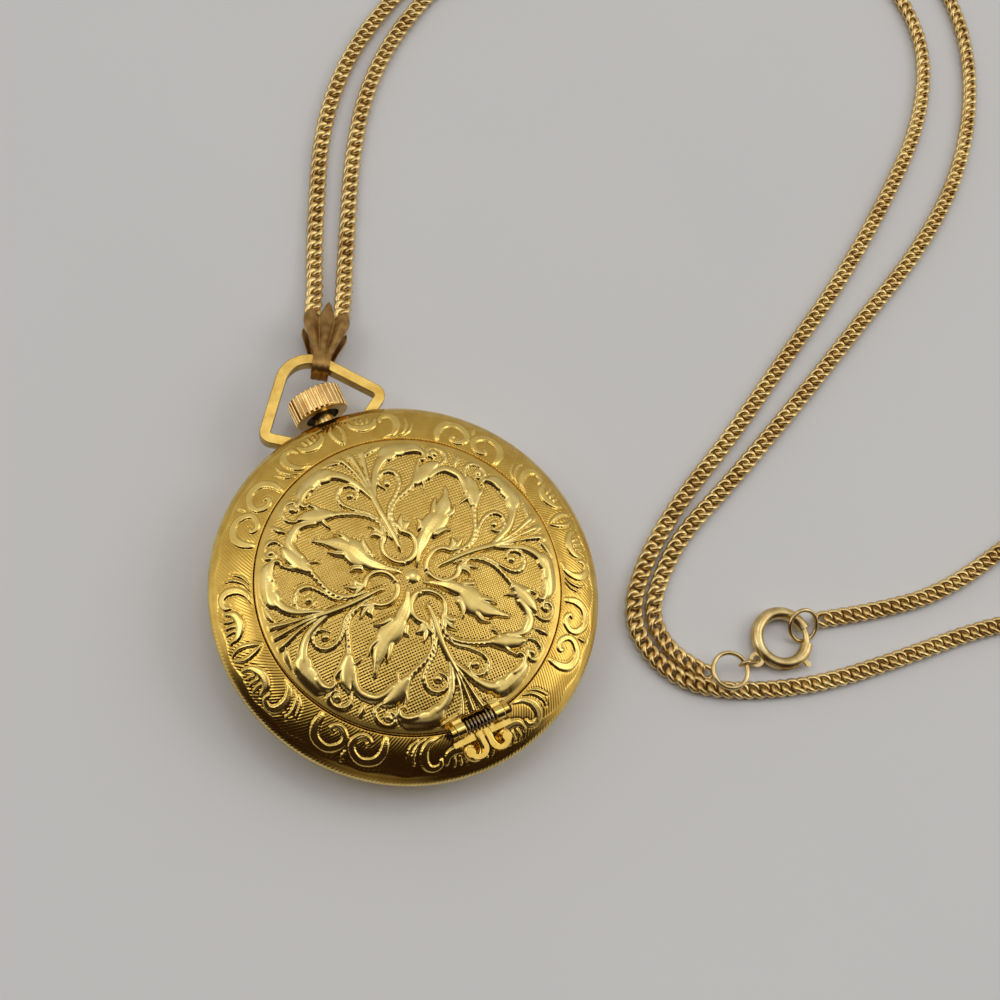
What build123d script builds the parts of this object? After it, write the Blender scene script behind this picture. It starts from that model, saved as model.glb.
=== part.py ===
# Pendant watch: a round hunter case with a sprung lid, a hand-wound movement, a bow, a bail and a curb chain.
# The watch lies on its back. +Z points out of the lid, +Y from the middle of the dial to 12 o'clock and the crown.
# The origin is on the case's axis, in the flat of the back that it rests on. Lengths are in millimetres.
from build123d import *
from math import atan2, ceil, cos, degrees, hypot, pi, radians, sin, sqrt, tan
import os

os.makedirs("parts", exist_ok=True)

# Case
case_radius = 17.5
case_edge_low = 3.6
case_edge_high = 4.4
case_edge_chamfer = 0.35
case_wall = 0.6
back_floor = 0.5
back_rim_height = 2.4
back_rim_inset = 1.8
back_slope_width = 4.2
back_lip_height = 0.5
back_lip_width = 0.6
band_rise = 0.6
groove_width = 0.3
seat_height = 5.6
crystal_seat_drop = 0.3
crystal_ring_width = 0.35
crystal_ring_height = 0.55
crystal_inset = 1.9
crystal_thickness = 0.65
crystal_edge = 0.5
crystal_rise = 1.05
dial_opening_inset = 0.9
flange_thickness = 0.25
fit_gap = 0.05
running_gap = 0.04
soft_gap = 0.15
overrun = 1.0

# Lid and its hinge
lid_share = 0.7657
lid_edge_rise = 0.7
lid_rise = 1.6
lid_wall = 0.5
lid_lip_width = 0.5
lid_boss_radius = 0.75
lid_boss_height = 0.3
hinge_offset = 0.35
hinge_rise = 1.35
hinge_pin_radius = 0.25
hinge_pin_half_length = 3.05
pin_head_radius = 0.42
pin_head_length = 0.3
knuckle_radius = 0.62
knuckle_width = 0.85
knuckle_middle = 1.85
leaf_length = 0.95
slot_depth = 0.75
spring_wire = 0.2
spring_radius = 0.46
spring_half_turns = 7
spring_length = 2.68
spring_leg_reach = 0.95
spring_leg_clearance = 0.16
scroll_strip = 0.42
scroll_depth = 0.9
scroll_ball_radius = 0.42
scroll_root_share = 0.75
scroll_neck_share = 0.7
scroll_bend_share = 0.55
scroll_reach = 1.55

# Crown, pendant tube and stem
stem_height = 3.4
stem_radius = 0.4
crown_radius = 2.6
crown_length = 2.3
crown_gap = 0.8
crown_cap = 0.8
crown_bore_radius = 1.6
crown_flute_count = 32
crown_flute_radius = 0.13
crown_edge = 0.25
crown_press = 0.3
tube_radius = 0.95
tube_bore = 0.6
tube_reach = 1.1
gasket_inset = 0.2
gasket_length = 0.3

# Bow: a strap bent to a rounded triangle, its two feet on the case's edge
bow_strap = 1.0
bow_depth = 1.2
bow_height = 3.7
bow_foot_x = 6.02
bow_foot_gap = 0.76
bow_side_x = 2.56
bow_side_rise = 4.33
bow_apex_radius = 2.83
bow_foot_radius = 0.7
bow_foot_reach = 3.2
bow_foot_drop = 2.2

# Bail: a folded strip with three lobes, hung on the bow's shoulder
bail_shoulder_angle = 45
bail_heading = 31
bail_droop = 18.5
bail_slot = 2.1
bail_leaf = 0.3
bail_fold = 1.45
bail_tip = 6.9
bail_corner = 5.3
bail_half_width = 2.35
bail_lobe_half_width = 0.85
bail_neck_half_width = 0.85
bail_neck = 0.4
bail_pinch = 5.75
bail_pinch_radius = 0.3

# Dial and hands
dial_inset = 1.7
dial_thickness = 0.3
dial_hole_radius = 0.95
marker_length = 1.5
marker_width = 0.35
marker_height = 0.12
marker_inset = 2.1
hand_thickness = 0.08
hour_hand_share = 0.479
minute_hand_share = 0.735
hand_width = 0.7
hand_tail = 1.4
hour_hand_rise = 0.44
minute_hand_rise = 0.62

# Movement heights, from the back to the dial
movement_share = 0.7351
bridge_bottom = 0.9
bridge_thickness = 0.5
plate_bottom = 2.8
plate_thickness = 1.4
dial_drop = 0.9
bridge_inset = 0.25
bridge_wall = 0.7
bridge_split = 1.0
bridge_gap = 0.3
arbor_radius = 0.15
arbor_hole_radius = 0.2
wheel_thickness = 0.15
pinion_length = 0.3
centre_arbor_radius = 0.3
cannon_bore = 0.2
cannon_fit = 0.01
jewel_radius = 0.5
jewel_thickness = 0.2
screw_radius = 0.45
screw_head_height = 0.2
screw_shank_radius = 0.2
screw_reach = 0.6

# Going train: teeth, modules and the height of each wheel
module_share = 0.010152
barrel_teeth, centre_pinion_teeth, barrel_module_share = 70, 10, 1.15
centre_teeth, third_pinion_teeth = 64, 8
third_teeth, fourth_pinion_teeth, third_module_share = 60, 8, 0.9
fourth_teeth, escape_pinion_teeth, fourth_module_share = 70, 7, 0.75
barrel_height, barrel_depth = 1.5, 0.8
barrel_tooth_depth = 0.3
barrel_wall = 0.25
barrel_cover = 0.13
barrel_floor = 0.2
barrel_arbor_radius = 0.6
centre_wheel_height = 2.58
third_wheel_height = 2.1
fourth_wheel_height = 1.75
escape_wheel_height = 2.3
escape_teeth = 15
escape_share = 0.20304
escape_hub_share = 0.725
pallet_share = 1.265
balance_distance_share = 1.575
balance_radius_share = 1.35
balance_rim = 0.35
balance_height = 1.6
balance_depth = 0.25
roller_radius = 0.6
hairspring_height = 2.0
hairspring_strip = 0.06
hairspring_pitch = 0.3
hairspring_start = 0.4
hairspring_half_turns = 8
mainspring_strip = 0.1
mainspring_margin = 0.262
mainspring_start = 0.75
mainspring_half_turns = 9
barrel_bearing = 125.0
third_bearing = -34.9
fourth_bearing = -108.1
escape_bearing = 186.6
pallet_bearing = 202.0
balance_bearing = 122.7

# Motion work under the dial
cannon_teeth, minute_wheel_teeth, cannon_module = 12, 36, 0.1
minute_pinion_teeth, hour_wheel_teeth = 10, 40
motion_height = 4.22
hour_wheel_height = 4.45
motion_bearing = -45.0
cannon_pipe_radius = 0.45
hour_pipe_radius = 0.75

# Winding work under the dial
winding_module_share = 1.5
winding_pinion_teeth = 12
crown_wheel_teeth = 24
ratchet_teeth = 26
winding_wheel_height = 4.3
winding_pinion_length = 0.55
click_gap = 1.115
click_bearing = 205.0
click_beak_bearing = 185.0
click_pivot_radius = 0.2
click_width = 0.5

# Clasp and rings
clasp_gap_x, clasp_gap_y, clasp_height = 14.4, 0.35, 0.75
clasp_ring_radius = 2.5
clasp_tube_radius = 0.6
clasp_bore_radius = 0.4
clasp_bolt_radius = 0.3
clasp_gap_start, clasp_gap_end = -38.0, -2.0
clasp_bolt_start, clasp_bolt_end = -76.0, 4.0
clasp_thumb_bearing = -71.0
clasp_thumb_reach = 0.35
clasp_thumb_radius = 0.28
clasp_thumb_width = 0.4
clasp_thumb_height = 0.36
clasp_travel = 40.0
clasp_spring_end = 212.0
clasp_socket_end = 6.3
clasp_spring_radius = 0.36
clasp_eye_bearing = 193.0
clasp_eye_radius = 0.55
clasp_eye_wire = 0.17
left_ring_ahead, left_ring_below, left_ring_height = 6.9, 0.75, 2.15
left_ring_radius = 1.68
left_ring_wire = 0.22
right_ring_beyond, right_ring_above, right_ring_height = 2.5, 0.2, 1.05
right_ring_radius = 1.525
right_ring_wire = 0.2
right_ring_tilt = 32.0
link_half_width = 0.5
link_wire = 0.18

# Chain: a free curb chain, as plain tubes of its width
chain_width = 1.8
chain_radius = chain_width / 2
chain_spread = 1.4
chain_bend_start = 5.2
route_unit = 1.0

# Places worked out from the sizes above
lid_radius = case_radius * lid_share
back_rim_radius = case_radius - back_rim_inset
back_flat_radius = back_rim_radius - back_slope_width
crystal_radius = lid_radius - crystal_inset
dial_radius = lid_radius - dial_inset
marker_circle = dial_radius - marker_inset
hour_hand_length = dial_radius * hour_hand_share
minute_hand_length = dial_radius * minute_hand_share
movement_radius = lid_radius * movement_share
bridge_radius = movement_radius - bridge_inset
centre_module = movement_radius * module_share
barrel_module = centre_module * barrel_module_share
third_module = centre_module * third_module_share
fourth_module = centre_module * fourth_module_share
winding_module = centre_module * winding_module_share
escape_radius = movement_radius * escape_share
escape_hub_radius = escape_radius * escape_hub_share
pallet_distance = escape_radius * pallet_share
balance_distance = escape_radius * balance_distance_share
balance_radius = escape_radius * balance_radius_share
hinge_distance = lid_radius + hinge_offset
crown_start = case_radius + crown_gap
tube_end = crown_start + tube_reach
gasket_start = crown_start + gasket_inset
bow_foot_y = case_radius + bow_foot_gap
bow_side_y = bow_foot_y + bow_side_rise
clasp_centre_x, clasp_centre_y = case_radius + clasp_gap_x, -case_radius - clasp_gap_y
left_ring_x, left_ring_y = clasp_centre_x - left_ring_ahead, clasp_centre_y - left_ring_below
right_ring_x, right_ring_y = clasp_centre_x + right_ring_beyond, clasp_centre_y + right_ring_above
stem_axis = Plane(origin=(0, 0, stem_height), x_dir=(1, 0, 0), z_dir=(0, 1, 0))
lid_seat_radius = lid_radius + groove_width
crystal_seat = seat_height - crystal_seat_drop
ring_outer_radius = crystal_radius + fit_gap + crystal_ring_width
dial_opening_radius = crystal_radius - dial_opening_inset + fit_gap
flange_bottom = crystal_seat - flange_thickness
cavity_radius = dial_radius + fit_gap * 2
back_lip_radius = back_rim_radius - case_wall - fit_gap
plate_top = plate_bottom + plate_thickness
bridge_top = bridge_bottom + bridge_thickness
lid_bottom = seat_height + fit_gap
lid_edge_top = seat_height + lid_edge_rise
band_top = seat_height + band_rise
hinge_height = seat_height + hinge_rise
spring_lid_leg_height = seat_height + spring_leg_clearance
dial_bottom = seat_height - dial_drop
hour_hand_height = dial_bottom + hour_hand_rise
minute_hand_height = dial_bottom + minute_hand_rise


def keep(piece, name):
    """Labels a finished piece and writes it under its own name."""
    piece.label = name
    export_step(piece, "parts/" + name + ".step")


def polar(origin, distance, bearing):
    """The point at a distance and a bearing, in degrees from +X, from another point."""
    turn = radians(bearing)
    return (origin[0] + distance * cos(turn), origin[1] + distance * sin(turn))


def dome_height(edge_radius, rise, radius):
    """How far a round dome stands above its edge at a radius from its middle."""
    sphere = (edge_radius**2 + rise**2) / (2 * rise)
    return sqrt(sphere**2 - radius**2) - sphere + rise


# Tooth form, in modules and in shares of the tooth pitch
addendum_share = 0.9
dedendum_share = 1.2
tip_half_share = 0.1
root_half_share = 0.24


def tooth_outline(centre, teeth, module, bearing):
    """Corners of a toothed wheel: a trapezium for each tooth, the first one centred on the bearing."""
    tip = module * (teeth / 2 + addendum_share)
    root = module * (teeth / 2 - dedendum_share)
    pitch = 360 / teeth
    corner_table = ((root, -root_half_share), (tip, -tip_half_share), (tip, tip_half_share), (root, root_half_share))
    return [
        polar(centre, distance, bearing + pitch * (tooth + share))
        for tooth in range(teeth)
        for distance, share in corner_table
    ]


def gear_blank(centre, height, depth, teeth, module, bearing):
    """Adds a toothed disc to the part that is being built."""
    with BuildSketch(Plane.XY.offset(height)) as blank:
        with BuildLine():
            Polyline(*tooth_outline(centre, teeth, module, bearing), close=True)
        make_face()
    extrude(blank.sketch, amount=depth)


def round_bar(centre, bottom, top, radius, mode=Mode.ADD):
    """Adds, or cuts, an upright cylinder between two heights."""
    with BuildSketch(Plane.XY.offset(bottom)) as bar:
        with Locations(centre):
            Circle(radius)
    extrude(bar.sketch, amount=top - bottom, mode=mode)


def spiral_points(start, pitch, half_turns):
    """Where a spiral of half circles crosses its own axis, alternately right and left."""
    return [(-1) ** step * (start + step * pitch / 2) for step in range(half_turns + 1)]


def spiral_strip(centre, height, depth, start, pitch, half_turns, strip):
    """Adds a flat strip wound in a spiral of half circles: an inner edge, and an outer one a strip further out."""
    inner = spiral_points(start, pitch, half_turns)
    outer = spiral_points(start + strip, pitch, half_turns)
    with BuildSketch(Plane(origin=(centre[0], centre[1], height))) as ribbon:
        with BuildLine():
            for edge in (inner, outer):
                for step, (here, there) in enumerate(zip(edge, edge[1:])):
                    side = 1 if step % 2 == 0 else -1
                    bulge = ((here + there) / 2, side * abs(here - there) / 2)
                    ThreePointArc((here, 0), bulge, (there, 0))
            Line((inner[0], 0), (outer[0], 0))
            Line((inner[-1], 0), (outer[-1], 0))
        make_face()
    extrude(ribbon.sketch, amount=depth)


# Case middle: the rim with the sloping band, the milled edge, the lid's seat and the crystal's ledge
with BuildPart() as case_middle:
    with BuildSketch(Plane.XZ):
        with BuildLine():
            Polyline(
                (back_lip_radius, back_rim_height),
                (back_rim_radius, back_rim_height),
                (case_radius - case_edge_chamfer, case_edge_low - case_edge_chamfer),
                (case_radius, case_edge_low),
                (case_radius, case_edge_high),
                (case_radius - case_edge_chamfer, case_edge_high + case_edge_chamfer),
            )
            ThreePointArc(
                (case_radius - case_edge_chamfer, case_edge_high + case_edge_chamfer),
                (
                    (case_radius + lid_seat_radius) / 2,
                    (case_edge_high + case_edge_chamfer + band_top) / 2 + case_edge_chamfer / 2,
                ),
                (lid_seat_radius + fit_gap, band_top),
            )
            Polyline(
                (lid_seat_radius + fit_gap, band_top),
                (lid_seat_radius, band_top - fit_gap),
                (lid_seat_radius, seat_height),
                (ring_outer_radius, seat_height),
                (ring_outer_radius, crystal_seat),
                (dial_opening_radius, crystal_seat),
                (dial_opening_radius, flange_bottom),
                (cavity_radius, flange_bottom),
                (cavity_radius, back_rim_height + back_lip_height + fit_gap),
                (back_lip_radius, back_rim_height + back_lip_height + fit_gap),
                (back_lip_radius, back_rim_height),
            )
        make_face()
    revolve(axis=Axis.Z)
    with BuildSketch(stem_axis.offset(cavity_radius - overrun)):
        Circle(tube_radius)
    extrude(amount=case_radius - cavity_radius + overrun * 2, mode=Mode.SUBTRACT)

# Case back: a shallow dish that snaps in from below
with BuildPart() as case_back:
    with BuildSketch(Plane.XZ):
        with BuildLine():
            Polyline(
                (0, back_floor),
                (0, 0),
                (back_flat_radius, 0),
            )
            TangentArc((back_flat_radius, 0), (back_rim_radius, back_rim_height), tangent=(1, 0))
            Polyline(
                (back_rim_radius, back_rim_height),
                (back_lip_radius, back_rim_height),
                (back_lip_radius, back_rim_height + back_lip_height),
                (back_lip_radius - back_lip_width, back_rim_height + back_lip_height),
                (back_lip_radius - back_lip_width, back_rim_height),
            )
            TangentArc(
                (back_flat_radius, back_floor),
                (back_lip_radius - back_lip_width, back_rim_height),
                tangent=(1, 0),
            )
            Line((back_flat_radius, back_floor), (0, back_floor))
        make_face()
    revolve(axis=Axis.Z)

# Pendant tube: pressed into the case, open for the stem
with BuildPart() as pendant_tube:
    with BuildSketch(stem_axis.offset(back_lip_radius + fit_gap)):
        Circle(tube_radius)
        Circle(tube_bore, mode=Mode.SUBTRACT)
    extrude(amount=tube_end - back_lip_radius - fit_gap)

# Bow: a flat strap swept along a rounded triangle whose feet run into the case's edge
bow_slope = atan2(bow_side_y - bow_foot_y, bow_foot_x - bow_side_x)
bow_vertex_y = bow_foot_y + bow_foot_x * tan(bow_slope)
bow_arc_y = bow_vertex_y - bow_apex_radius / cos(bow_slope)
with BuildPart() as bow:
    with BuildLine(Plane.XY.offset(bow_height)) as bow_path:
        FilletPolyline(
            (bow_foot_reach - bow_foot_x, bow_foot_y - bow_foot_drop),
            (-bow_foot_x, bow_foot_y),
            (0, bow_vertex_y),
            (bow_foot_x, bow_foot_y),
            (bow_foot_x - bow_foot_reach, bow_foot_y - bow_foot_drop),
            radius=[bow_foot_radius, bow_apex_radius, bow_foot_radius],
        )
    with BuildSketch(Plane(origin=bow_path.line @ 0, x_dir=(0, 0, 1), z_dir=bow_path.line % 0)):
        Rectangle(bow_depth, bow_strap)
    sweep()
    add(case_middle.part, mode=Mode.SUBTRACT)

# Lid: a dome with a lip round its edge, a bead in its middle and a slot for the hinge's spring
slot_half_width = knuckle_middle - knuckle_width / 2
with BuildPart() as lid:
    with BuildSketch(Plane.XZ):
        with BuildLine():
            dome_top = lid_edge_top + lid_rise
            lid_middle = lid_radius / 2
            outer_half = dome_height(lid_radius - fit_gap, lid_rise, lid_middle)
            inner_half = dome_height(lid_radius - lid_lip_width, lid_rise - fit_gap, lid_middle)
            Line((0, dome_top - lid_wall), (0, dome_top))
            ThreePointArc((0, dome_top), (lid_middle, lid_edge_top + outer_half), (lid_radius - fit_gap, lid_edge_top))
            Polyline(
                (lid_radius - fit_gap, lid_edge_top),
                (lid_radius, lid_edge_top - fit_gap),
                (lid_radius, lid_bottom),
                (lid_radius - lid_lip_width, lid_bottom),
                (lid_radius - lid_lip_width, lid_edge_top - lid_wall + fit_gap),
            )
            ThreePointArc(
                (lid_radius - lid_lip_width, lid_edge_top - lid_wall + fit_gap),
                (lid_middle, lid_edge_top - lid_wall + fit_gap + inner_half),
                (0, dome_top - lid_wall),
            )
        make_face()
    revolve(axis=Axis.Z)
    with BuildSketch(Plane.XZ):
        with BuildLine():
            boss_foot = dome_top - fit_gap
            Line((0, boss_foot), (0, dome_top + lid_boss_height))
            ThreePointArc(
                (0, dome_top + lid_boss_height),
                (lid_boss_radius * 3 / 4, dome_top + lid_boss_height * 3 / 5),
                (lid_boss_radius, boss_foot),
            )
            Line((lid_boss_radius, boss_foot), (0, boss_foot))
        make_face()
    revolve(axis=Axis.Z)
    with BuildSketch(Plane.XY.offset(lid_bottom - overrun)):
        with Locations((0, -lid_radius)):
            Rectangle(slot_half_width * 2, slot_depth * 2)
    extrude(amount=overrun * 2 + lid_rise, mode=Mode.SUBTRACT)

# Hinge: the pin's axis runs along X, above the groove at 6 o'clock
hinge_axis = Plane(origin=(0, -hinge_distance, hinge_height), x_dir=(0, 1, 0), z_dir=(1, 0, 0))
knuckle_inner = knuckle_middle - knuckle_width / 2
knuckle_outer = knuckle_middle + knuckle_width / 2
ear_inner = knuckle_outer + running_gap
with BuildPart() as lid_knuckles:
    for side in (-1, 1):
        with BuildSketch(hinge_axis.offset(side * knuckle_middle - knuckle_width / 2)):
            Circle(knuckle_radius)
            with Locations((leaf_length / 2, -knuckle_radius / 4)):
                Rectangle(leaf_length, knuckle_radius)
            Circle(hinge_pin_radius + running_gap, mode=Mode.SUBTRACT)
        extrude(amount=knuckle_width)
    add(lid.part, mode=Mode.SUBTRACT)

with BuildPart() as hinge_pin:
    with BuildSketch(hinge_axis.offset(-hinge_pin_half_length)):
        Circle(hinge_pin_radius)
    extrude(amount=hinge_pin_half_length * 2)
    for start in (-hinge_pin_half_length, hinge_pin_half_length - pin_head_length):
        with BuildSketch(hinge_axis.offset(start)):
            Circle(pin_head_radius)
        extrude(amount=pin_head_length)
    ends = hinge_pin.edges().filter_by(GeomType.CIRCLE).group_by(Axis.X)
    fillet(ends[0] + ends[-1], radius=pin_head_length - fit_gap)

# Hinge bracket: two ears for the pin and two curled lugs, on a foot that follows the case's band
ear_radius = knuckle_radius - fit_gap
ear_outer = hinge_pin_half_length - pin_head_length
foot_near = hinge_distance + hinge_pin_radius
foot_far = foot_near + scroll_depth
scroll_bottom = case_edge_high
with BuildPart() as hinge_bracket:
    for side in (-1, 1):
        with BuildSketch(hinge_axis.offset(side * (ear_inner + ear_outer) / 2 - (ear_outer - ear_inner) / 2)):
            Circle(ear_radius)
            with BuildLine():
                Polyline(
                    (-ear_radius, 0),
                    (-hinge_pin_radius, -ear_radius),
                    (-hinge_pin_radius, scroll_bottom - hinge_height),
                    (-scroll_depth - hinge_pin_radius, scroll_bottom - hinge_height),
                    close=True,
                )
            make_face()
        extrude(amount=ear_outer - ear_inner)
    with BuildSketch(Plane.XY.offset(scroll_bottom)):
        with Locations((0, -(foot_near + foot_far) / 2 - fit_gap)):
            Rectangle(ear_outer * 2, foot_far - foot_near)
    extrude(amount=hinge_height - knuckle_radius - fit_gap * 2 - scroll_bottom)
    scroll_middle = knuckle_middle - fit_gap * 2
    for side in (-1, 1):
        scroll_root = (side * scroll_strip * scroll_root_share, -foot_near - scroll_strip)
        scroll_neck = (side * scroll_strip * scroll_root_share, -foot_far - scroll_depth * scroll_neck_share)
        with BuildLine(Plane.XY.offset(scroll_bottom)) as scroll_path:
            Line(scroll_root, scroll_neck)
            ThreePointArc(
                scroll_neck,
                (side * scroll_middle * scroll_bend_share, -foot_far - scroll_reach),
                (side * scroll_middle, -foot_far - scroll_depth),
            )
        with BuildSketch(Plane.XY.offset(scroll_bottom)):
            trace(scroll_path.line, line_width=scroll_strip)
            with Locations((side * scroll_middle, -foot_far - scroll_depth)):
                Circle(scroll_ball_radius)
        extrude(amount=hinge_height - knuckle_radius / 2 - scroll_bottom)
    with BuildSketch(hinge_axis.offset(-ear_outer - overrun)):
        Circle(hinge_pin_radius)
    extrude(amount=(ear_outer + overrun) * 2, mode=Mode.SUBTRACT)
    add(case_middle.part, mode=Mode.SUBTRACT)
    with BuildSketch(Plane.XY.offset(scroll_bottom - overrun)):
        Circle(lid_seat_radius + fit_gap)
    extrude(amount=hinge_height - ear_radius - scroll_bottom + overrun, mode=Mode.SUBTRACT)

# Hinge spring: one wire, wound on biarcs of a quarter turn, one leg on the bracket's foot and one under the lid
spring_pitch = (spring_length - spring_wire) / spring_half_turns * 2
spring_start = (spring_wire - spring_length) / 2
spring_foot = hinge_height - knuckle_radius - fit_gap * 2


def wound(turned):
    """The point and the heading of the spring's helix after an angle, in radians, from its outer side."""
    place = Vector(
        spring_start + spring_pitch * turned / (2 * pi),
        -hinge_distance - spring_radius * cos(turned),
        hinge_height + spring_radius * sin(turned),
    )
    heading = Vector(spring_pitch / (2 * pi), spring_radius * sin(turned), spring_radius * cos(turned))
    return place, heading.normalized()


def biarc(here, heading, there, arriving):
    """Draws two arcs of equal tangent length that leave one point and reach the other at the given headings."""
    span = there - here
    square = 2 * (heading.dot(arriving) - 1)
    linear = -2 * span.dot(heading + arriving)
    spread = sqrt(linear**2 - 4 * square * span.dot(span))
    reach = min(root for root in ((spread - linear) / (2 * square), (-spread - linear) / (2 * square)) if root > 0)
    knee_in, knee_out = here + heading * reach, there - arriving * reach
    joint = (knee_in + knee_out) * 0.5
    TangentArc(here, joint, tangent=heading)
    TangentArc(joint, there, tangent=(knee_out - knee_in).normalized())


quarter = pi / 2
with BuildPart() as hinge_spring:
    with BuildLine() as spring_path:
        first, last = wound(0)[0], wound(pi * spring_half_turns)[0]
        Line((first.X, first.Y, spring_foot), (first.X, first.Y, first.Z - spring_wire))
        biarc(Vector(first.X, first.Y, first.Z - spring_wire), Vector(0, 0, 1), *wound(quarter / 2))
        for step in range(spring_half_turns * 4 - 2):
            biarc(*wound(quarter / 2 * (step + 1)), *wound(quarter / 2 * (step + 2)))
        biarc(
            *wound(quarter / 2 * (spring_half_turns * 4 - 1)),
            Vector(last.X, last.Y, last.Z - spring_wire),
            Vector(0, 0, -1),
        )
        leg_turn = spring_lid_leg_height + spring_wire
        Line((last.X, last.Y, last.Z - spring_wire), (last.X, last.Y, leg_turn))
        RadiusArc(
            (last.X, last.Y, leg_turn), (last.X, last.Y + spring_wire, spring_lid_leg_height), spring_wire
        )
        Line(
            (last.X, last.Y + spring_wire, spring_lid_leg_height),
            (last.X, last.Y + spring_leg_reach, spring_lid_leg_height),
        )
    with BuildSketch(Plane(origin=(first.X, first.Y, spring_foot))):
        Circle(spring_wire / 2)
    sweep(path=spring_path.wire())
spring_wire_length = spring_path.wire().length
sample_count = 600
spring_samples = [spring_path.wire() @ (step / sample_count) for step in range(sample_count + 1)]
apart = ceil(sample_count * spring_wire * 4 / spring_wire_length)
least_gap = min(
    (here - there).length for step, here in enumerate(spring_samples) for there in spring_samples[step + apart :]
)
print("hinge_spring least gap to itself", round(least_gap - spring_wire, 3))

# Crystal: a domed acrylic disc, and the ring that holds it on its ledge
with BuildPart() as crystal:
    with BuildSketch(Plane.XZ):
        with BuildLine():
            crystal_top = crystal_seat + crystal_edge + crystal_rise
            inner_rise = crystal_top - crystal_thickness - crystal_seat
            hollow_radius = dial_opening_radius + fit_gap
            Line((0, crystal_top - crystal_thickness), (0, crystal_top))
            ThreePointArc(
                (0, crystal_top),
                (
                    crystal_radius / 2,
                    crystal_seat + crystal_edge + dome_height(crystal_radius, crystal_rise, crystal_radius / 2),
                ),
                (crystal_radius, crystal_seat + crystal_edge),
            )
            Polyline(
                (crystal_radius, crystal_seat + crystal_edge),
                (crystal_radius, crystal_seat),
                (hollow_radius, crystal_seat),
            )
            ThreePointArc(
                (hollow_radius, crystal_seat),
                (hollow_radius / 2, crystal_seat + dome_height(hollow_radius, inner_rise, hollow_radius / 2)),
                (0, crystal_top - crystal_thickness),
            )
        make_face()
    revolve(axis=Axis.Z)

with BuildPart() as crystal_ring:
    with BuildSketch(Plane.XY.offset(crystal_seat)):
        Circle(ring_outer_radius)
        Circle(crystal_radius + fit_gap, mode=Mode.SUBTRACT)
    extrude(amount=crystal_ring_height)

# Dial, applied hour markers and the two hands
dial_top = dial_bottom + dial_thickness
with BuildPart() as dial:
    with BuildSketch(Plane.XY.offset(dial_bottom)):
        Circle(dial_radius)
        Circle(dial_hole_radius, mode=Mode.SUBTRACT)
    extrude(amount=dial_thickness)

with BuildPart() as hour_markers:
    with BuildSketch(Plane.XY.offset(dial_top)):
        with PolarLocations(marker_circle, 12):
            Rectangle(marker_length, marker_width)
    extrude(amount=marker_height)


def hand(height, length, heading, boss, hole):
    """Adds a lance-shaped hand: a round boss, a tapering blade and a short tail, pointing along the heading."""
    with BuildSketch(Plane.XY.offset(height)) as blade:
        Circle(boss)
        with BuildLine():
            Polyline(
                polar((0, 0), hand_tail, heading + 180),
                polar((0, 0), hand_width / 2, heading - 90),
                polar((0, 0), length, heading),
                polar((0, 0), hand_width / 2, heading + 90),
                close=True,
            )
        make_face()
        Circle(hole, mode=Mode.SUBTRACT)
    extrude(blade.sketch, amount=hand_thickness)


hour_heading = 90 - 10 * 30 - 4.5
minute_heading = 90 - 9 * 6
with BuildPart() as hour_hand:
    hand(hour_hand_height, hour_hand_length, hour_heading, hour_pipe_radius + hand_width / 4, hour_pipe_radius)
with BuildPart() as minute_hand:
    hand(minute_hand_height, minute_hand_length, minute_heading, hand_width, cannon_pipe_radius)

# Where the train's arbors stand, each from the one that drives it
middle = (0, 0)
barrel_place = polar(middle, (barrel_teeth + centre_pinion_teeth) / 2 * barrel_module, barrel_bearing)
third_place = polar(middle, (centre_teeth + third_pinion_teeth) / 2 * centre_module, third_bearing)
fourth_place = polar(third_place, (third_teeth + fourth_pinion_teeth) / 2 * third_module, fourth_bearing)
escape_place = polar(fourth_place, (fourth_teeth + escape_pinion_teeth) / 2 * fourth_module, escape_bearing)
pallet_place = polar(escape_place, pallet_distance, pallet_bearing)
balance_place = polar(pallet_place, balance_distance, balance_bearing)
minute_wheel_place = polar(middle, (cannon_teeth + minute_wheel_teeth) / 2 * cannon_module, motion_bearing)
arbor_bottom = bridge_bottom + fit_gap
arbor_top = plate_top - fit_gap
train_places = [third_place, fourth_place, escape_place]
screw_circle = bridge_radius - bridge_wall / 2
screw_bearings = {"barrel": (30, 150), "train": (-20, -80)}
winding_distance = (crown_wheel_teeth + ratchet_teeth) / 2 * winding_module
crown_wheel_place = (0, barrel_place[1] + sqrt(winding_distance**2 - barrel_place[0] ** 2))
winding_mesh_y = crown_wheel_place[1] + winding_module * crown_wheel_teeth / 2
winding_pinion_start = winding_mesh_y - winding_module


def half_pitch(teeth):
    """Half of a wheel's tooth pitch, in degrees: what turns a tooth into a gap."""
    return 180 / teeth


# Movement ring and mainplate
with BuildPart() as movement_ring:
    with BuildSketch(Plane.XY.offset(plate_bottom)):
        Circle(cavity_radius - fit_gap)
        Circle(movement_radius + fit_gap, mode=Mode.SUBTRACT)
    extrude(amount=dial_bottom - fit_gap - plate_bottom)
    with BuildSketch(stem_axis.offset(movement_radius - overrun)):
        Circle(stem_radius + running_gap * 2)
    extrude(amount=cavity_radius - movement_radius + overrun * 2, mode=Mode.SUBTRACT)

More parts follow.
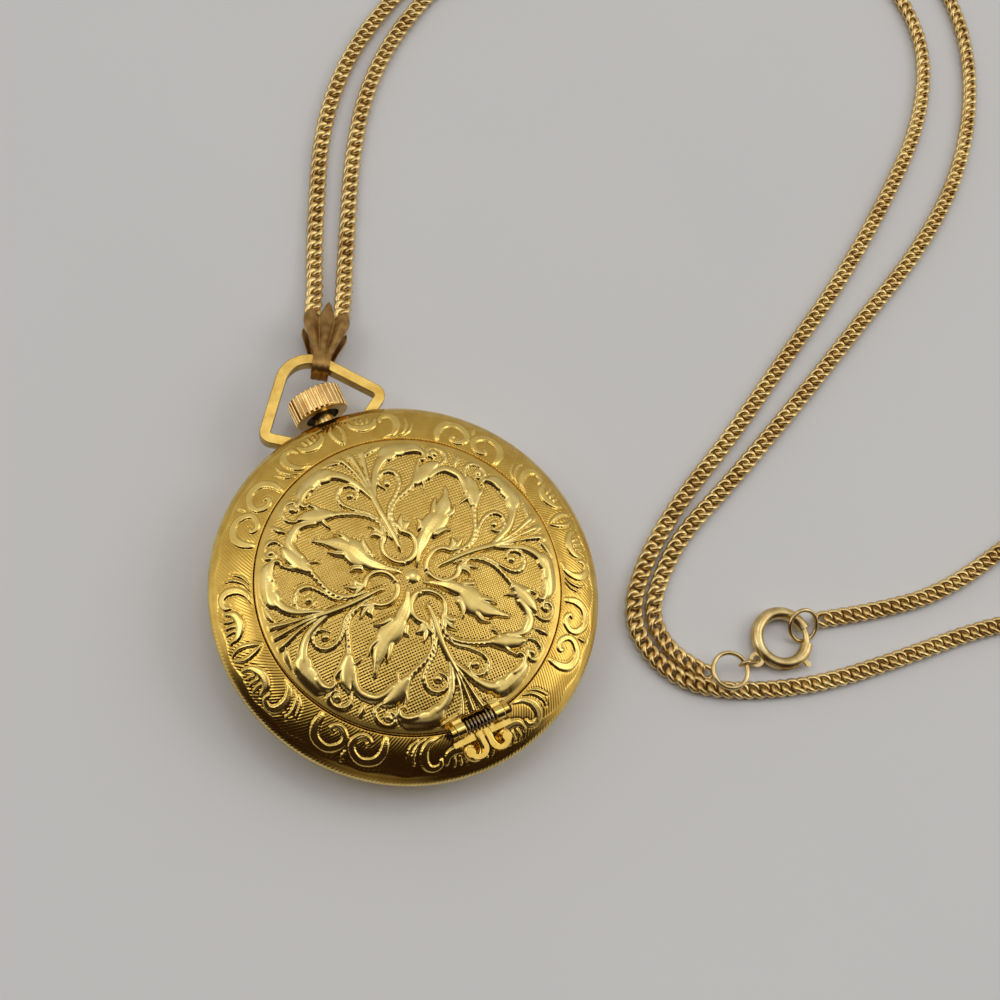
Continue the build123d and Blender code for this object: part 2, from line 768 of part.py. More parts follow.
stem_tip = crown_wheel_place[1] + winding_module * crown_wheel_teeth / 4
pinion_pocket = winding_pinion_length + running_gap * 4
pinion_outer = winding_module * (winding_pinion_teeth / 2 + addendum_share)
with BuildPart() as mainplate:
    with BuildSketch(Plane.XY.offset(plate_bottom)):
        Circle(movement_radius)
        with Locations(middle, *train_places, pallet_place, balance_place):
            Circle(arbor_hole_radius, mode=Mode.SUBTRACT)
        Circle(cannon_pipe_radius + running_gap, mode=Mode.SUBTRACT)
        with Locations(barrel_place):
            Circle(barrel_arbor_radius + running_gap, mode=Mode.SUBTRACT)
        with Locations((0, winding_pinion_start + winding_pinion_length / 2)):
            Rectangle((pinion_outer + running_gap) * 2, pinion_pocket, mode=Mode.SUBTRACT)
    extrude(amount=plate_thickness)
    with BuildSketch(stem_axis.offset(stem_tip - crown_press - running_gap * 2)):
        Circle(stem_radius + running_gap)
    extrude(amount=movement_radius - stem_tip + crown_press + overrun, mode=Mode.SUBTRACT)

# Bridges and cocks: plates over the train, each with a wall or foot up to the mainplate
wall_inner = bridge_radius - bridge_wall


def bridge_face(keep_box, places, hole):
    """Draws the part of the movement's disc that a box keeps, with a hole at each place."""
    low_x, low_y, high_x, high_y = keep_box
    Circle(bridge_radius)
    with Locations(((low_x + high_x) / 2, (low_y + high_y) / 2)):
        Rectangle(high_x - low_x, high_y - low_y, mode=Mode.INTERSECT)
    if places:
        with Locations(*places):
            Circle(hole, mode=Mode.SUBTRACT)


def bridge(keep_box, places, hole):
    """Adds a bridge: its plate, and a wall along the movement's edge."""
    with BuildSketch(Plane.XY.offset(bridge_bottom)) as plate:
        bridge_face(keep_box, places, hole)
    extrude(plate.sketch, amount=bridge_thickness)
    with BuildSketch(Plane.XY.offset(bridge_top)) as wall:
        bridge_face(keep_box, [middle], wall_inner)
    extrude(wall.sketch, amount=plate_bottom - bridge_top)


barrel_box = (-bridge_radius, -bridge_split, bridge_radius, bridge_radius)
train_box = (-bridge_split * 2, -bridge_radius, bridge_radius, -bridge_split - bridge_gap)
with BuildPart() as barrel_bridge:
    bridge(barrel_box, [barrel_place], barrel_arbor_radius + running_gap)
    round_bar(middle, bridge_bottom, bridge_top, arbor_hole_radius, Mode.SUBTRACT)
with BuildPart() as train_bridge:
    bridge(train_box, train_places, arbor_hole_radius)

cock_half_width = bridge_split
cock_bearing = degrees(atan2(balance_place[1], balance_place[0]))
cock_reach = hypot(*balance_place)
cock_plane = Plane.XY.rotated((0, 0, cock_bearing))
with BuildPart() as balance_cock:
    with BuildSketch(cock_plane.offset(bridge_bottom)):
        with Locations(((cock_reach + bridge_radius) / 2, 0)):
            Rectangle(bridge_radius - cock_reach + cock_half_width * 2, cock_half_width * 2)
        Circle(bridge_radius, mode=Mode.INTERSECT)
        with Locations((cock_reach, 0)):
            Circle(arbor_hole_radius, mode=Mode.SUBTRACT)
    extrude(amount=bridge_thickness)
    with BuildSketch(cock_plane.offset(bridge_top)):
        with Locations((bridge_radius, 0)):
            Rectangle(bridge_wall * 2, cock_half_width * 2)
        Circle(bridge_radius, mode=Mode.INTERSECT)
    extrude(amount=plate_bottom - bridge_top)

pallet_cock_bottom = escape_wheel_height - wheel_thickness * 2
pallet_bearing_out = degrees(atan2(pallet_place[1], pallet_place[0]))
pallet_plane = Plane.XY.rotated((0, 0, pallet_bearing_out))
pallet_reach = hypot(*pallet_place)
with BuildPart() as pallet_cock:
    with BuildSketch(pallet_plane.offset(pallet_cock_bottom)):
        with Locations(((pallet_reach + wall_inner) / 2, 0)):
            Rectangle(wall_inner - pallet_reach + screw_radius, screw_radius * 2)
        with Locations((pallet_reach, 0)):
            Circle(arbor_hole_radius, mode=Mode.SUBTRACT)
    extrude(amount=wheel_thickness)
    with BuildSketch(pallet_plane.offset(pallet_cock_bottom)):
        with Locations((wall_inner - screw_radius / 2, 0)):
            Rectangle(screw_radius * 2, screw_radius * 2)
    extrude(amount=plate_bottom - pallet_cock_bottom)

# Screws that hold the bridges and cocks, heads towards the back
screw_places = [
    *[(polar(middle, screw_circle, turn), bridge_bottom) for pair in screw_bearings.values() for turn in pair],
    (polar(middle, screw_circle, cock_bearing), bridge_bottom),
    (polar(middle, wall_inner - screw_radius / 2, pallet_bearing_out), pallet_cock_bottom),
]
with BuildPart() as bridge_screws:
    for place, seat in screw_places:
        round_bar(place, seat - screw_head_height, seat, screw_radius)
        round_bar(place, seat - screw_head_height, plate_bottom + screw_reach, screw_shank_radius)
    for place, seat in screw_places:
        with BuildSketch(Plane(origin=(place[0], place[1], seat - screw_head_height))):
            Rectangle(screw_radius * 2, screw_shank_radius / 2)
        extrude(amount=screw_head_height / 2, mode=Mode.SUBTRACT)

# Jewels: rings pressed into the bridges from outside and into the mainplate from the dial's side
plate_jewels = [*train_places, pallet_place, balance_place]
bridge_jewels = [*train_places, balance_place]
jewel_seats = [(place, plate_top - jewel_thickness) for place in plate_jewels] + [
    (place, bridge_bottom) for place in bridge_jewels
]
with BuildPart() as train_jewels:
    for place, seat in jewel_seats:
        with BuildSketch(Plane(origin=(place[0], place[1], seat))):
            Circle(jewel_radius)
            Circle(arbor_hole_radius, mode=Mode.SUBTRACT)
        extrude(amount=jewel_thickness)

# The pockets and holes that the jewels, the screws and the motion work need in the plates
for plate in (mainplate, barrel_bridge, train_bridge, balance_cock, pallet_cock):
    with plate:
        for place, seat in jewel_seats:
            round_bar(place, seat, seat + jewel_thickness, jewel_radius, Mode.SUBTRACT)
        for place, seat in screw_places:
            round_bar(place, seat, plate_bottom + screw_reach, screw_shank_radius + fit_gap, Mode.SUBTRACT)
ratchet_tip = winding_module * (ratchet_teeth / 2 + addendum_share)
click_place = polar(barrel_place, ratchet_tip + click_gap, click_bearing)
with mainplate:
    round_bar(minute_wheel_place, plate_bottom, plate_top, arbor_hole_radius, Mode.SUBTRACT)
    round_bar(crown_wheel_place, plate_bottom + screw_reach, plate_top, arbor_hole_radius, Mode.SUBTRACT)
    round_bar(click_place, plate_bottom + screw_reach, plate_top, click_pivot_radius, Mode.SUBTRACT)

# Barrel: a toothed drum with its cover, the mainspring in it, and the arbor that the ratchet wheel turns
drum_radius = barrel_module * (barrel_teeth / 2 - dedendum_share) - fit_gap
barrel_top = barrel_height + barrel_depth
mainspring_room = drum_radius - barrel_wall - mainspring_start - mainspring_strip - mainspring_margin
mainspring_pitch = mainspring_room * 2 / mainspring_half_turns
with BuildPart() as barrel:
    to_middle = barrel_bearing + 180
    gear_blank(barrel_place, barrel_height, barrel_tooth_depth, barrel_teeth, barrel_module, to_middle)
    round_bar(barrel_place, barrel_height, barrel_top, drum_radius)
    round_bar(barrel_place, barrel_height + barrel_floor, barrel_top, drum_radius - barrel_wall, Mode.SUBTRACT)
    round_bar(barrel_place, barrel_height, barrel_top, barrel_arbor_radius + running_gap, Mode.SUBTRACT)
with BuildPart() as barrel_lid:
    round_bar(barrel_place, barrel_top - barrel_cover, barrel_top, drum_radius - barrel_wall)
    round_bar(barrel_place, barrel_top - barrel_cover, barrel_top, barrel_arbor_radius + running_gap, Mode.SUBTRACT)
spring_low = barrel_height + barrel_floor + fit_gap
with BuildPart() as mainspring:
    spiral_strip(
        barrel_place,
        spring_low,
        barrel_top - barrel_cover - fit_gap - spring_low,
        mainspring_start,
        mainspring_pitch,
        mainspring_half_turns,
        mainspring_strip,
    )
with BuildPart() as barrel_arbor:
    round_bar(barrel_place, arbor_bottom, winding_wheel_height, barrel_arbor_radius)
to_crown_wheel = degrees(atan2(crown_wheel_place[1] - barrel_place[1], crown_wheel_place[0] - barrel_place[0]))
with BuildPart() as ratchet_wheel:
    gear_blank(barrel_place, winding_wheel_height, wheel_thickness, ratchet_teeth, winding_module, to_crown_wheel)

# Click: the catch beside the ratchet wheel, on its stud
beak = polar(barrel_place, ratchet_tip + running_gap * 2, click_beak_bearing)
with BuildPart() as click:
    with BuildSketch(Plane.XY.offset(plate_top)) as catch:
        with Locations(click_place):
            Circle(click_width)
        with BuildLine():
            Polyline(
                beak,
                polar(click_place, click_width, click_bearing - 90),
                polar(click_place, click_width, click_bearing + 90),
                close=True,
            )
        make_face()
        with Locations(barrel_place):
            Circle(ratchet_tip + running_gap * 2, mode=Mode.SUBTRACT)
    extrude(amount=winding_wheel_height + wheel_thickness - plate_top)
    round_bar(click_place, plate_bottom + screw_reach, plate_top, click_pivot_radius)

# Going train: each arbor with its wheel and its pinion. A wheel's tooth and a pinion's gap meet on their line
with BuildPart() as centre_wheel:
    gear_blank(middle, centre_wheel_height, wheel_thickness, centre_teeth, centre_module, third_bearing)
    gear_blank(
        middle,
        barrel_height,
        barrel_tooth_depth,
        centre_pinion_teeth,
        barrel_module,
        barrel_bearing + half_pitch(centre_pinion_teeth),
    )
    round_bar(middle, arbor_bottom, bridge_top, arbor_radius)
    round_bar(middle, bridge_top, centre_wheel_height, centre_arbor_radius)
    round_bar(middle, centre_wheel_height, motion_height, cannon_pipe_radius)
    round_bar(middle, motion_height, minute_hand_height + hand_thickness, cannon_bore)
with BuildPart() as third_wheel:
    gear_blank(third_place, third_wheel_height, wheel_thickness, third_teeth, third_module, fourth_bearing)
    gear_blank(
        third_place,
        centre_wheel_height - wheel_thickness / 2,
        pinion_length,
        third_pinion_teeth,
        centre_module,
        third_bearing + 180 + half_pitch(third_pinion_teeth),
    )
    round_bar(third_place, arbor_bottom, arbor_top, arbor_radius)
with BuildPart() as fourth_wheel:
    gear_blank(fourth_place, fourth_wheel_height, wheel_thickness, fourth_teeth, fourth_module, escape_bearing)
    gear_blank(
        fourth_place,
        third_wheel_height - wheel_thickness / 2,
        pinion_length,
        fourth_pinion_teeth,
        third_module,
        fourth_bearing + 180 + half_pitch(fourth_pinion_teeth),
    )
    round_bar(fourth_place, arbor_bottom, arbor_top, arbor_radius)

# Escapement: the club-toothed wheel, the pallet fork and the balance with its roller and its hairspring
escape_pitch = 360 / escape_teeth
escape_share_table = ((0, -0.35), (1, 0), (1, 0.1), (0, 0.2))
with BuildPart() as escape_wheel:
    with BuildSketch(Plane.XY.offset(escape_wheel_height)):
        with BuildLine():
            Polyline(
                *[
                    polar(
                        escape_place,
                        escape_hub_radius + reach * (escape_radius - escape_hub_radius),
                        escape_pitch * (tooth + share),
                    )
                    for tooth in range(escape_teeth)
                    for reach, share in escape_share_table
                ],
                close=True,
            )
        make_face()
    extrude(amount=wheel_thickness)
    gear_blank(
        escape_place,
        fourth_wheel_height - wheel_thickness / 2,
        pinion_length,
        escape_pinion_teeth,
        fourth_module,
        escape_bearing + 180 + half_pitch(escape_pinion_teeth),
    )
    round_bar(escape_place, arbor_bottom, arbor_top, arbor_radius)

fork_length = balance_distance - roller_radius - running_gap * 4
fork_width = arbor_radius * 2
fork_plane = Plane(origin=(pallet_place[0], pallet_place[1], escape_wheel_height))
pallet_span_teeth = 2.5
pallet_half_turn = pallet_span_teeth * 180 / escape_teeth
pallet_tip = (
    pallet_distance - (escape_radius + running_gap) * cos(radians(pallet_half_turn)),
    (escape_radius + running_gap) * sin(radians(pallet_half_turn)),
)
with BuildPart() as pallet_fork:
    with BuildSketch(fork_plane.rotated((0, 0, balance_bearing))):
        with Locations((fork_length / 2, 0)):
            Rectangle(fork_length, fork_width)
        with Locations((fork_length - arbor_radius, 0)):
            Rectangle(arbor_radius * 2, roller_radius)
            Rectangle(arbor_radius * 4, roller_radius / 4, mode=Mode.SUBTRACT)
    extrude(amount=wheel_thickness)
    with BuildSketch(fork_plane.rotated((0, 0, pallet_bearing + 180))):
        Circle(fork_width)
        for side in (-1, 1):
            with BuildLine():
                Polyline(
                    (0, side * fork_width),
                    (-fork_width / 2, side * pallet_tip[1]),
                    (pallet_tip[0] - fork_width / 2, side * pallet_tip[1]),
                    (pallet_tip[0] - fork_width / 2, side * (pallet_tip[1] - fork_width)),
                    (fork_width / 2, 0),
                    (0, 0),
                    close=True,
                )
            make_face()
    extrude(amount=wheel_thickness)
    round_bar(pallet_place, pallet_cock_bottom + fit_gap, arbor_top, arbor_radius)

with BuildPart() as balance_wheel:
    with BuildSketch(Plane(origin=(balance_place[0], balance_place[1], balance_height))):
        Circle(balance_radius)
        Circle(balance_radius - balance_rim, mode=Mode.SUBTRACT)
        Rectangle(balance_radius * 2 - balance_rim, balance_rim)
        Circle(roller_radius)
    extrude(amount=balance_depth)
    round_bar(
        balance_place, escape_wheel_height - fit_gap, escape_wheel_height + wheel_thickness - fit_gap, roller_radius
    )
    round_bar(balance_place, arbor_bottom, arbor_top, arbor_radius)

hairspring_end = hairspring_start + hairspring_pitch / 2 * hairspring_half_turns
with BuildPart() as hairspring:
    spiral_strip(
        balance_place,
        hairspring_height,
        wheel_thickness,
        hairspring_start,
        hairspring_pitch,
        hairspring_half_turns,
        hairspring_strip,
    )
    stud = (balance_place[0] + hairspring_end + hairspring_strip, balance_place[1])
    round_bar(stud, hairspring_height, plate_bottom, arbor_radius)

# Motion work: cannon pinion, minute wheel and hour wheel
minute_pinion_module = cannon_module * (cannon_teeth + minute_wheel_teeth) / (minute_pinion_teeth + hour_wheel_teeth)
motion_depth = hour_wheel_height - motion_height - fit_gap
with BuildPart() as cannon_pinion:
    gear_blank(middle, motion_height, motion_depth, cannon_teeth, cannon_module, motion_bearing)
    round_bar(middle, motion_height, minute_hand_height + hand_thickness, cannon_pipe_radius)
    round_bar(
        middle, motion_height, minute_hand_height + hand_thickness + overrun, cannon_bore + cannon_fit, Mode.SUBTRACT
    )
with BuildPart() as minute_wheel:
    gear_blank(
        minute_wheel_place,
        motion_height,
        motion_depth,
        minute_wheel_teeth,
        cannon_module,
        motion_bearing + 180 + half_pitch(minute_wheel_teeth),
    )
    gear_blank(
        minute_wheel_place,
        hour_wheel_height - fit_gap,
        wheel_thickness + fit_gap,
        minute_pinion_teeth,
        minute_pinion_module,
        motion_bearing + 180,
    )
    round_bar(minute_wheel_place, plate_bottom + screw_reach, motion_height, arbor_radius)
with BuildPart() as hour_wheel:
    gear_blank(
        middle,
        hour_wheel_height,
        wheel_thickness,
        hour_wheel_teeth,
        minute_pinion_module,
        motion_bearing + half_pitch(hour_wheel_teeth),
    )
    round_bar(middle, hour_wheel_height, hour_hand_height + hand_thickness, hour_pipe_radius)
    round_bar(
        middle,
        hour_wheel_height,
        hour_hand_height + hand_thickness + overrun,
        cannon_pipe_radius + running_gap,
        Mode.SUBTRACT,
    )

# Winding work: crown wheel, winding pinion, stem, crown and its gasket
with BuildPart() as crown_wheel:
    gear_blank(
        crown_wheel_place,
        winding_wheel_height,
        wheel_thickness,
        crown_wheel_teeth,
        winding_module,
        90 + half_pitch(crown_wheel_teeth),
    )
    round_bar(crown_wheel_place, plate_bottom + screw_reach + fit_gap, winding_wheel_height, arbor_radius)
with BuildPart() as winding_pinion:
    with BuildSketch(stem_axis.offset(winding_pinion_start)):
        with BuildLine():
            Polyline(*tooth_outline(middle, winding_pinion_teeth, winding_module, 90), close=True)
        make_face()
        Circle(stem_radius + running_gap, mode=Mode.SUBTRACT)
    extrude(amount=winding_pinion_length)
with BuildPart() as winding_stem:
    with BuildSketch(stem_axis.offset(stem_tip)):
        Circle(stem_radius)
    extrude(amount=crown_start + crown_length - crown_cap - stem_tip)
with BuildPart() as crown:
    with BuildSketch(stem_axis.offset(crown_start)):
        Circle(crown_radius)
        Circle(crown_bore_radius, mode=Mode.SUBTRACT)
    extrude(amount=crown_length - crown_cap)
    with BuildSketch(stem_axis.offset(crown_start + crown_length - crown_cap)):
        Circle(crown_radius)
    extrude(amount=crown_cap)
    rims = crown.edges().filter_by(GeomType.CIRCLE).filter_by(lambda edge: edge.radius > crown_bore_radius + crown_edge)
    fillet(rims, radius=crown_edge)
    with BuildSketch(stem_axis.offset(crown_start - overrun)):
        with PolarLocations(crown_radius, crown_flute_count):
            Circle(crown_flute_radius)
    extrude(amount=crown_length + overrun * 2, mode=Mode.SUBTRACT)
with BuildPart() as crown_gasket:
    with BuildSketch(stem_axis.offset(gasket_start)):
        Circle(crown_bore_radius - running_gap)
        Circle(tube_radius + running_gap, mode=Mode.SUBTRACT)
    extrude(amount=gasket_length)

# Bail: a folded band round the bow's strap, cut to a fan with three lobes, with a post between its leaves
bail_turn, bail_dip = radians(bail_heading), radians(bail_droop)
shoulder = polar((0, bow_arc_y), bow_apex_radius, bail_shoulder_angle)
bail_forward = (sin(bail_turn) * cos(bail_dip), cos(bail_turn) * cos(bail_dip), -sin(bail_dip))
bail_across = (cos(bail_turn), -sin(bail_turn), 0)
bail_side = Plane(origin=(shoulder[0], shoulder[1], bow_height), x_dir=bail_forward, z_dir=bail_across)
bail_face = Plane(origin=bail_side.origin, x_dir=bail_forward, z_dir=bail_side.y_dir)
bail_outer = bail_slot / 2 + bail_leaf
with BuildPart() as bail:
    with BuildSketch(bail_side):
        fold_middle = bail_slot / 2 - bail_fold
        for half, end, mode in ((bail_outer, bail_tip, Mode.ADD), (bail_slot / 2, bail_tip + overrun, Mode.SUBTRACT)):
            with Locations((fold_middle, 0)):
                Circle(half, mode=mode)
            with Locations(((fold_middle + end) / 2, 0)):
                Rectangle(end - fold_middle, half * 2, mode=mode)
    extrude(amount=bail_half_width * 2, both=True)
    with BuildSketch(bail_face):
        with BuildLine():
            lobe_start = bail_corner - bail_lobe_half_width
            Polyline(
                (lobe_start, bail_half_width - bail_leaf / 2),
                (bail_neck, bail_neck_half_width),
                (-bail_fold - bail_leaf, bail_neck_half_width),
                (-bail_fold - bail_leaf, -bail_neck_half_width),
                (bail_neck, -bail_neck_half_width),
                (lobe_start, -bail_half_width + bail_leaf / 2),
            )
            for side in (-1, 1):
                ThreePointArc(
                    (lobe_start, side * (bail_half_width - bail_leaf / 2)),
                    (bail_corner + bail_leaf, side * (bail_half_width - bail_leaf / 2)),
                    (bail_corner + bail_leaf, side * bail_lobe_half_width),
                )
            ThreePointArc(
                (bail_corner + bail_leaf, -bail_lobe_half_width), (bail_tip, 0), (bail_corner + bail_leaf, bail_lobe_half_width)
            )
        make_face()
    extrude(amount=bail_outer + overrun, both=True, mode=Mode.INTERSECT)
    with BuildSketch(bail_face):
        with Locations((bail_pinch, 0)):
            Circle(bail_pinch_radius)
    extrude(amount=bail_slot / 2, both=True)

# Clasp: the tube's ring is open where the bolt closes it, with an eye for the link and a spring behind the bolt
clasp_plane = Plane(origin=(clasp_centre_x, clasp_centre_y, clasp_height))
clasp_axis = Axis(clasp_plane.origin, (0, 0, 1))


def ring_bar(start, end, radius, bore=0):
    """Adds a round bar, or a tube, along the clasp's circle from one bearing to another."""
    section_plane = Plane(
        origin=(*polar((clasp_centre_x, clasp_centre_y), clasp_ring_radius, start), clasp_height),
        x_dir=(*polar((0, 0), 1, start), 0),
        z_dir=(*polar((0, 0), 1, start + 90), 0),
    )
    with BuildSketch(section_plane) as section:
        Circle(radius)
        if bore:
            Circle(bore, mode=Mode.SUBTRACT)
    revolve(section.sketch, axis=clasp_axis, revolution_arc=end - start)


eye_reach = clasp_ring_radius + clasp_tube_radius + clasp_eye_radius - clasp_eye_wire
eye_place = polar((clasp_centre_x, clasp_centre_y), eye_reach, clasp_eye_bearing)
thumb_out = clasp_ring_radius + clasp_tube_radius + clasp_thumb_reach
slot_spread = degrees(clasp_thumb_width / clasp_ring_radius)
with BuildPart() as clasp_tube:
    ring_bar(clasp_socket_end, clasp_spring_end, clasp_tube_radius)
    with BuildSketch(Plane(origin=(eye_place[0], eye_place[1], clasp_height - clasp_eye_wire))):
        Circle(clasp_eye_radius + clasp_eye_wire)
        Circle(clasp_eye_radius - clasp_eye_wire, mode=Mode.SUBTRACT)
    extrude(amount=clasp_eye_wire * 2)
    ring_bar(clasp_gap_end, clasp_socket_end, clasp_tube_radius, clasp_bore_radius)
    ring_bar(clasp_spring_end, clasp_gap_start + 360, clasp_tube_radius, clasp_bore_radius)
    with BuildSketch(clasp_plane.offset(-clasp_thumb_height / 2 - running_gap)):
        with BuildLine():
            slot_low = clasp_thumb_bearing - clasp_travel - slot_spread
            slot_sweep = clasp_travel + slot_spread * 2
            CenterArc((0, 0), clasp_ring_radius, slot_low, slot_sweep)
            CenterArc((0, 0), thumb_out, slot_low, slot_sweep)
            for turn in (slot_low, slot_low + slot_sweep):
                Line(polar(middle, clasp_ring_radius, turn), polar(middle, thumb_out, turn))
        make_face()
    extrude(amount=clasp_thumb_height + running_gap * 2, mode=Mode.SUBTRACT)
with BuildPart() as clasp_bolt:
    ring_bar(clasp_bolt_start, clasp_bolt_end, clasp_bolt_radius)
    with BuildSketch(clasp_plane.offset(-clasp_thumb_height / 2).rotated((0, 0, clasp_thumb_bearing))):
        with Locations(((clasp_ring_radius + thumb_out) / 2, 0)):
            Rectangle(thumb_out - clasp_ring_radius, clasp_thumb_width)
        with Locations((thumb_out, 0)):
            Circle(clasp_thumb_radius)
    extrude(amount=clasp_thumb_height)
with BuildPart() as clasp_spring:
    ring_bar(clasp_spring_end + slot_spread / 4, clasp_bolt_start + 360 - slot_spread / 4, clasp_spring_radius)

# Rings at the chain's two ends, and the oval link between the left ring and the clasp's eye
with BuildPart() as jump_ring_left:
    with Locations(Plane(origin=(left_ring_x, left_ring_y, left_ring_height))):
        Torus(left_ring_radius, left_ring_wire)
right_tilt = radians(right_ring_tilt)
with BuildPart() as jump_ring_right:
    with Locations(
        Plane(
            origin=(right_ring_x, right_ring_y, right_ring_height),
            x_dir=(1, 0, 0),
            z_dir=(0, -sin(right_tilt), cos(right_tilt)),
        )
    ):
        Torus(right_ring_radius, right_ring_wire)
link_top = Vector(left_ring_x + left_ring_radius, left_ring_y, left_ring_height)
link_foot = Vector(*polar(eye_place, clasp_eye_radius, clasp_eye_bearing), clasp_height)
link_run = link_foot - link_top
with BuildPart() as clasp_connector:
    with BuildLine(Plane(origin=link_top, x_dir=link_run, z_dir=link_run.cross(Vector(0, 0, 1)))) as oval:
        Line((0, link_half_width), (link_run.length, link_half_width))
        ThreePointArc(
            (link_run.length, link_half_width),
            (link_run.length + link_half_width, 0),
            (link_run.length, -link_half_width),
        )
        Line((link_run.length, -link_half_width), (0, -link_half_width))
        ThreePointArc((0, -link_half_width), (-link_half_width, 0), (0, link_half_width))
    with BuildSketch(Plane(origin=oval.wire() @ 0, z_dir=oval.wire() % 0)):
        Circle(link_wire)
    sweep(path=oval.wire())


# Chain: each strand leaves the bail, comes down to the surface and runs on it to its ring at the clasp
def strand(out, across):
    """A point of the chain's turn inside the bail: a distance out from the bow's shoulder, and one across."""
    return tuple(
        start + out * ahead + across * aside
        for start, ahead, aside in zip((*shoulder, bow_height), bail_forward, bail_across)
    )


chain_turn_out = chain_bend_start - chain_spread
chain_down_out = (bow_height - chain_radius) / sin(bail_dip)
left_rise = [
    (4.9, 12.04), (7.9, 18.14), (11.1, 24.34), (15.3, 30.04), (20.6, 34.94), (30, 40.74), (41, 45.74),
    (54, 48.54), (67, 47.34), (79, 41.34),
]  # fmt: skip
right_rise = [
    (7.4, 10.14), (10.2, 15.54), (13.3, 21.44), (18.1, 28.54), (24.5, 34.34), (33, 39.34), (44, 43.34),
    (56, 44.34), (67.5, 42.14),
]  # fmt: skip
left_return = [
    (57.6, 72.35), (60.1, 60.35), (56.1, 48.85), (47.6, 38.55), (37.1, 31.45), (25.1, 25.95), (13.9, 20.65),
    (3.3, 15.95), (-3.7, 13.25), (-7.3, 10.85), (-10.3, 7.65), (-10.5, 4.25), (-9, 1.35), (-8.15, 0.05),
]  # fmt: skip
right_return = [
    (47.1, 76.45), (53.1, 66.35), (53.1, 55.35), (46.6, 45.85), (36.6, 38.15), (25.6, 30.95), (15.6, 25.65),
    (6.1, 20.35), (-3.5, 15.95), (-9.6, 12.05), (-12.9, 8.25), (-13.2, 4.25), (-11.5, 0.25), (-8.3, -2.25),
    (-3.4, -3.95), (2.5, -5.35), (11.1, -6.45), (20.1, -7.45), (29.1, -9.75), (37.6, -9.75), (41.3, -4.55),
    (37.1, -0.05), (28.1, -1.15), (18.1, -2.75), (10.1, -1.45), (4.45, 0.1),
]  # fmt: skip
left_route = [strand(chain_turn_out, 0), strand(chain_turn_out, -chain_spread), strand(chain_down_out, -chain_spread)]
right_route = [strand(chain_turn_out, 0), strand(chain_turn_out, chain_spread), strand(chain_down_out, chain_spread)]
for route, rise, back in ((left_route, left_rise, left_return), (right_route, right_rise, right_return)):
    for start, offsets in ((shoulder, rise), ((clasp_centre_x, clasp_centre_y), back)):
        route += [(start[0] + x * route_unit, start[1] + y * route_unit, chain_radius) for x, y in offsets]
arc_share = 0.45
split_run = 7


def chain_tube(points, name):
    """Adds the tube along a route, each arc as large as its runs allow, and prints its radii and its length."""
    places = [Vector(*point) for point in points]
    runs = [there - here for here, there in zip(places, places[1:])]
    radii = []
    for before, after in zip(runs, runs[1:]):
        half_turn = radians(before.get_angle(after)) / 2
        radii.append(arc_share * min(before.length, after.length) / tan(half_turn))
    if points[0] == left_route[0]:
        radii[0] = chain_spread - running_gap
    with BuildLine() as route:
        FilletPolyline(*places, radius=radii)
    with BuildSketch(Plane(origin=route.wire() @ 0, z_dir=route.wire() % 0)) as section:
        Circle(chain_radius)
    sweep(section.sketch, path=route.wire())
    length = route.wire().length
    print(name, "length", round(length, 1), "radii", [round(radius, 1) for radius in radii])
    return length


def halfway(route):
    """The middle of the run at which a strand's near piece ends."""
    return tuple((here + there) / 2 for here, there in zip(route[split_run - 1], route[split_run]))


with BuildPart() as chain_left_near:
    left_near_length = chain_tube([*left_route[:split_run], halfway(left_route)], "chain_left_near")
with BuildPart() as chain_right_near:
    right_near_length = chain_tube([*right_route[:split_run], halfway(right_route)], "chain_right_near")
with BuildPart() as chain_left:
    left_length = chain_tube([halfway(left_route), *left_route[split_run:]], "chain_left")
with BuildPart() as chain_right:
    right_length = chain_tube([halfway(right_route), *right_route[split_run:]], "chain_right")
section_area = pi * chain_radius**2
for tube, length in (
    (chain_left_near, left_near_length),
    (chain_right_near, right_near_length),
    (chain_left, left_length),
    (chain_right, right_length),
):
    print("tube volume over section times length:", round(tube.part.volume / (section_area * length), 4))

keep(case_middle.part, "case_middle")
keep(case_back.part, "case_back")
keep(pendant_tube.part, "pendant_tube")
keep(bow.part, "bow")
keep(lid.part, "lid")
keep(lid_knuckles.part, "lid_knuckles")
keep(hinge_pin.part, "hinge_pin")
keep(hinge_bracket.part, "hinge_bracket")
keep(hinge_spring.part, "hinge_spring")
keep(crystal.part, "crystal")
keep(crystal_ring.part, "crystal_ring")
keep(dial.part, "dial")
keep(hour_markers.part, "hour_markers")
keep(hour_hand.part, "hour_hand")
keep(minute_hand.part, "minute_hand")
keep(movement_ring.part, "movement_ring")
keep(mainplate.part, "mainplate")
keep(barrel_bridge.part, "barrel_bridge")
keep(train_bridge.part, "train_bridge")
keep(balance_cock.part, "balance_cock")
keep(pallet_cock.part, "pallet_cock")
keep(bridge_screws.part, "bridge_screws")
keep(train_jewels.part, "train_jewels")
keep(barrel.part, "barrel")
keep(barrel_lid.part, "barrel_lid")
keep(mainspring.part, "mainspring")
keep(barrel_arbor.part, "barrel_arbor")
keep(ratchet_wheel.part, "ratchet_wheel")
keep(click.part, "click")
keep(centre_wheel.part, "centre_wheel")
keep(third_wheel.part, "third_wheel")
keep(fourth_wheel.part, "fourth_wheel")
keep(escape_wheel.part, "escape_wheel")
keep(pallet_fork.part, "pallet_fork")
keep(balance_wheel.part, "balance_wheel")
keep(hairspring.part, "hairspring")
keep(cannon_pinion.part, "cannon_pinion")
keep(minute_wheel.part, "minute_wheel")
keep(hour_wheel.part, "hour_wheel")
keep(crown_wheel.part, "crown_wheel")
keep(winding_pinion.part, "winding_pinion")
keep(winding_stem.part, "winding_stem")
keep(crown.part, "crown")
keep(crown_gasket.part, "crown_gasket")
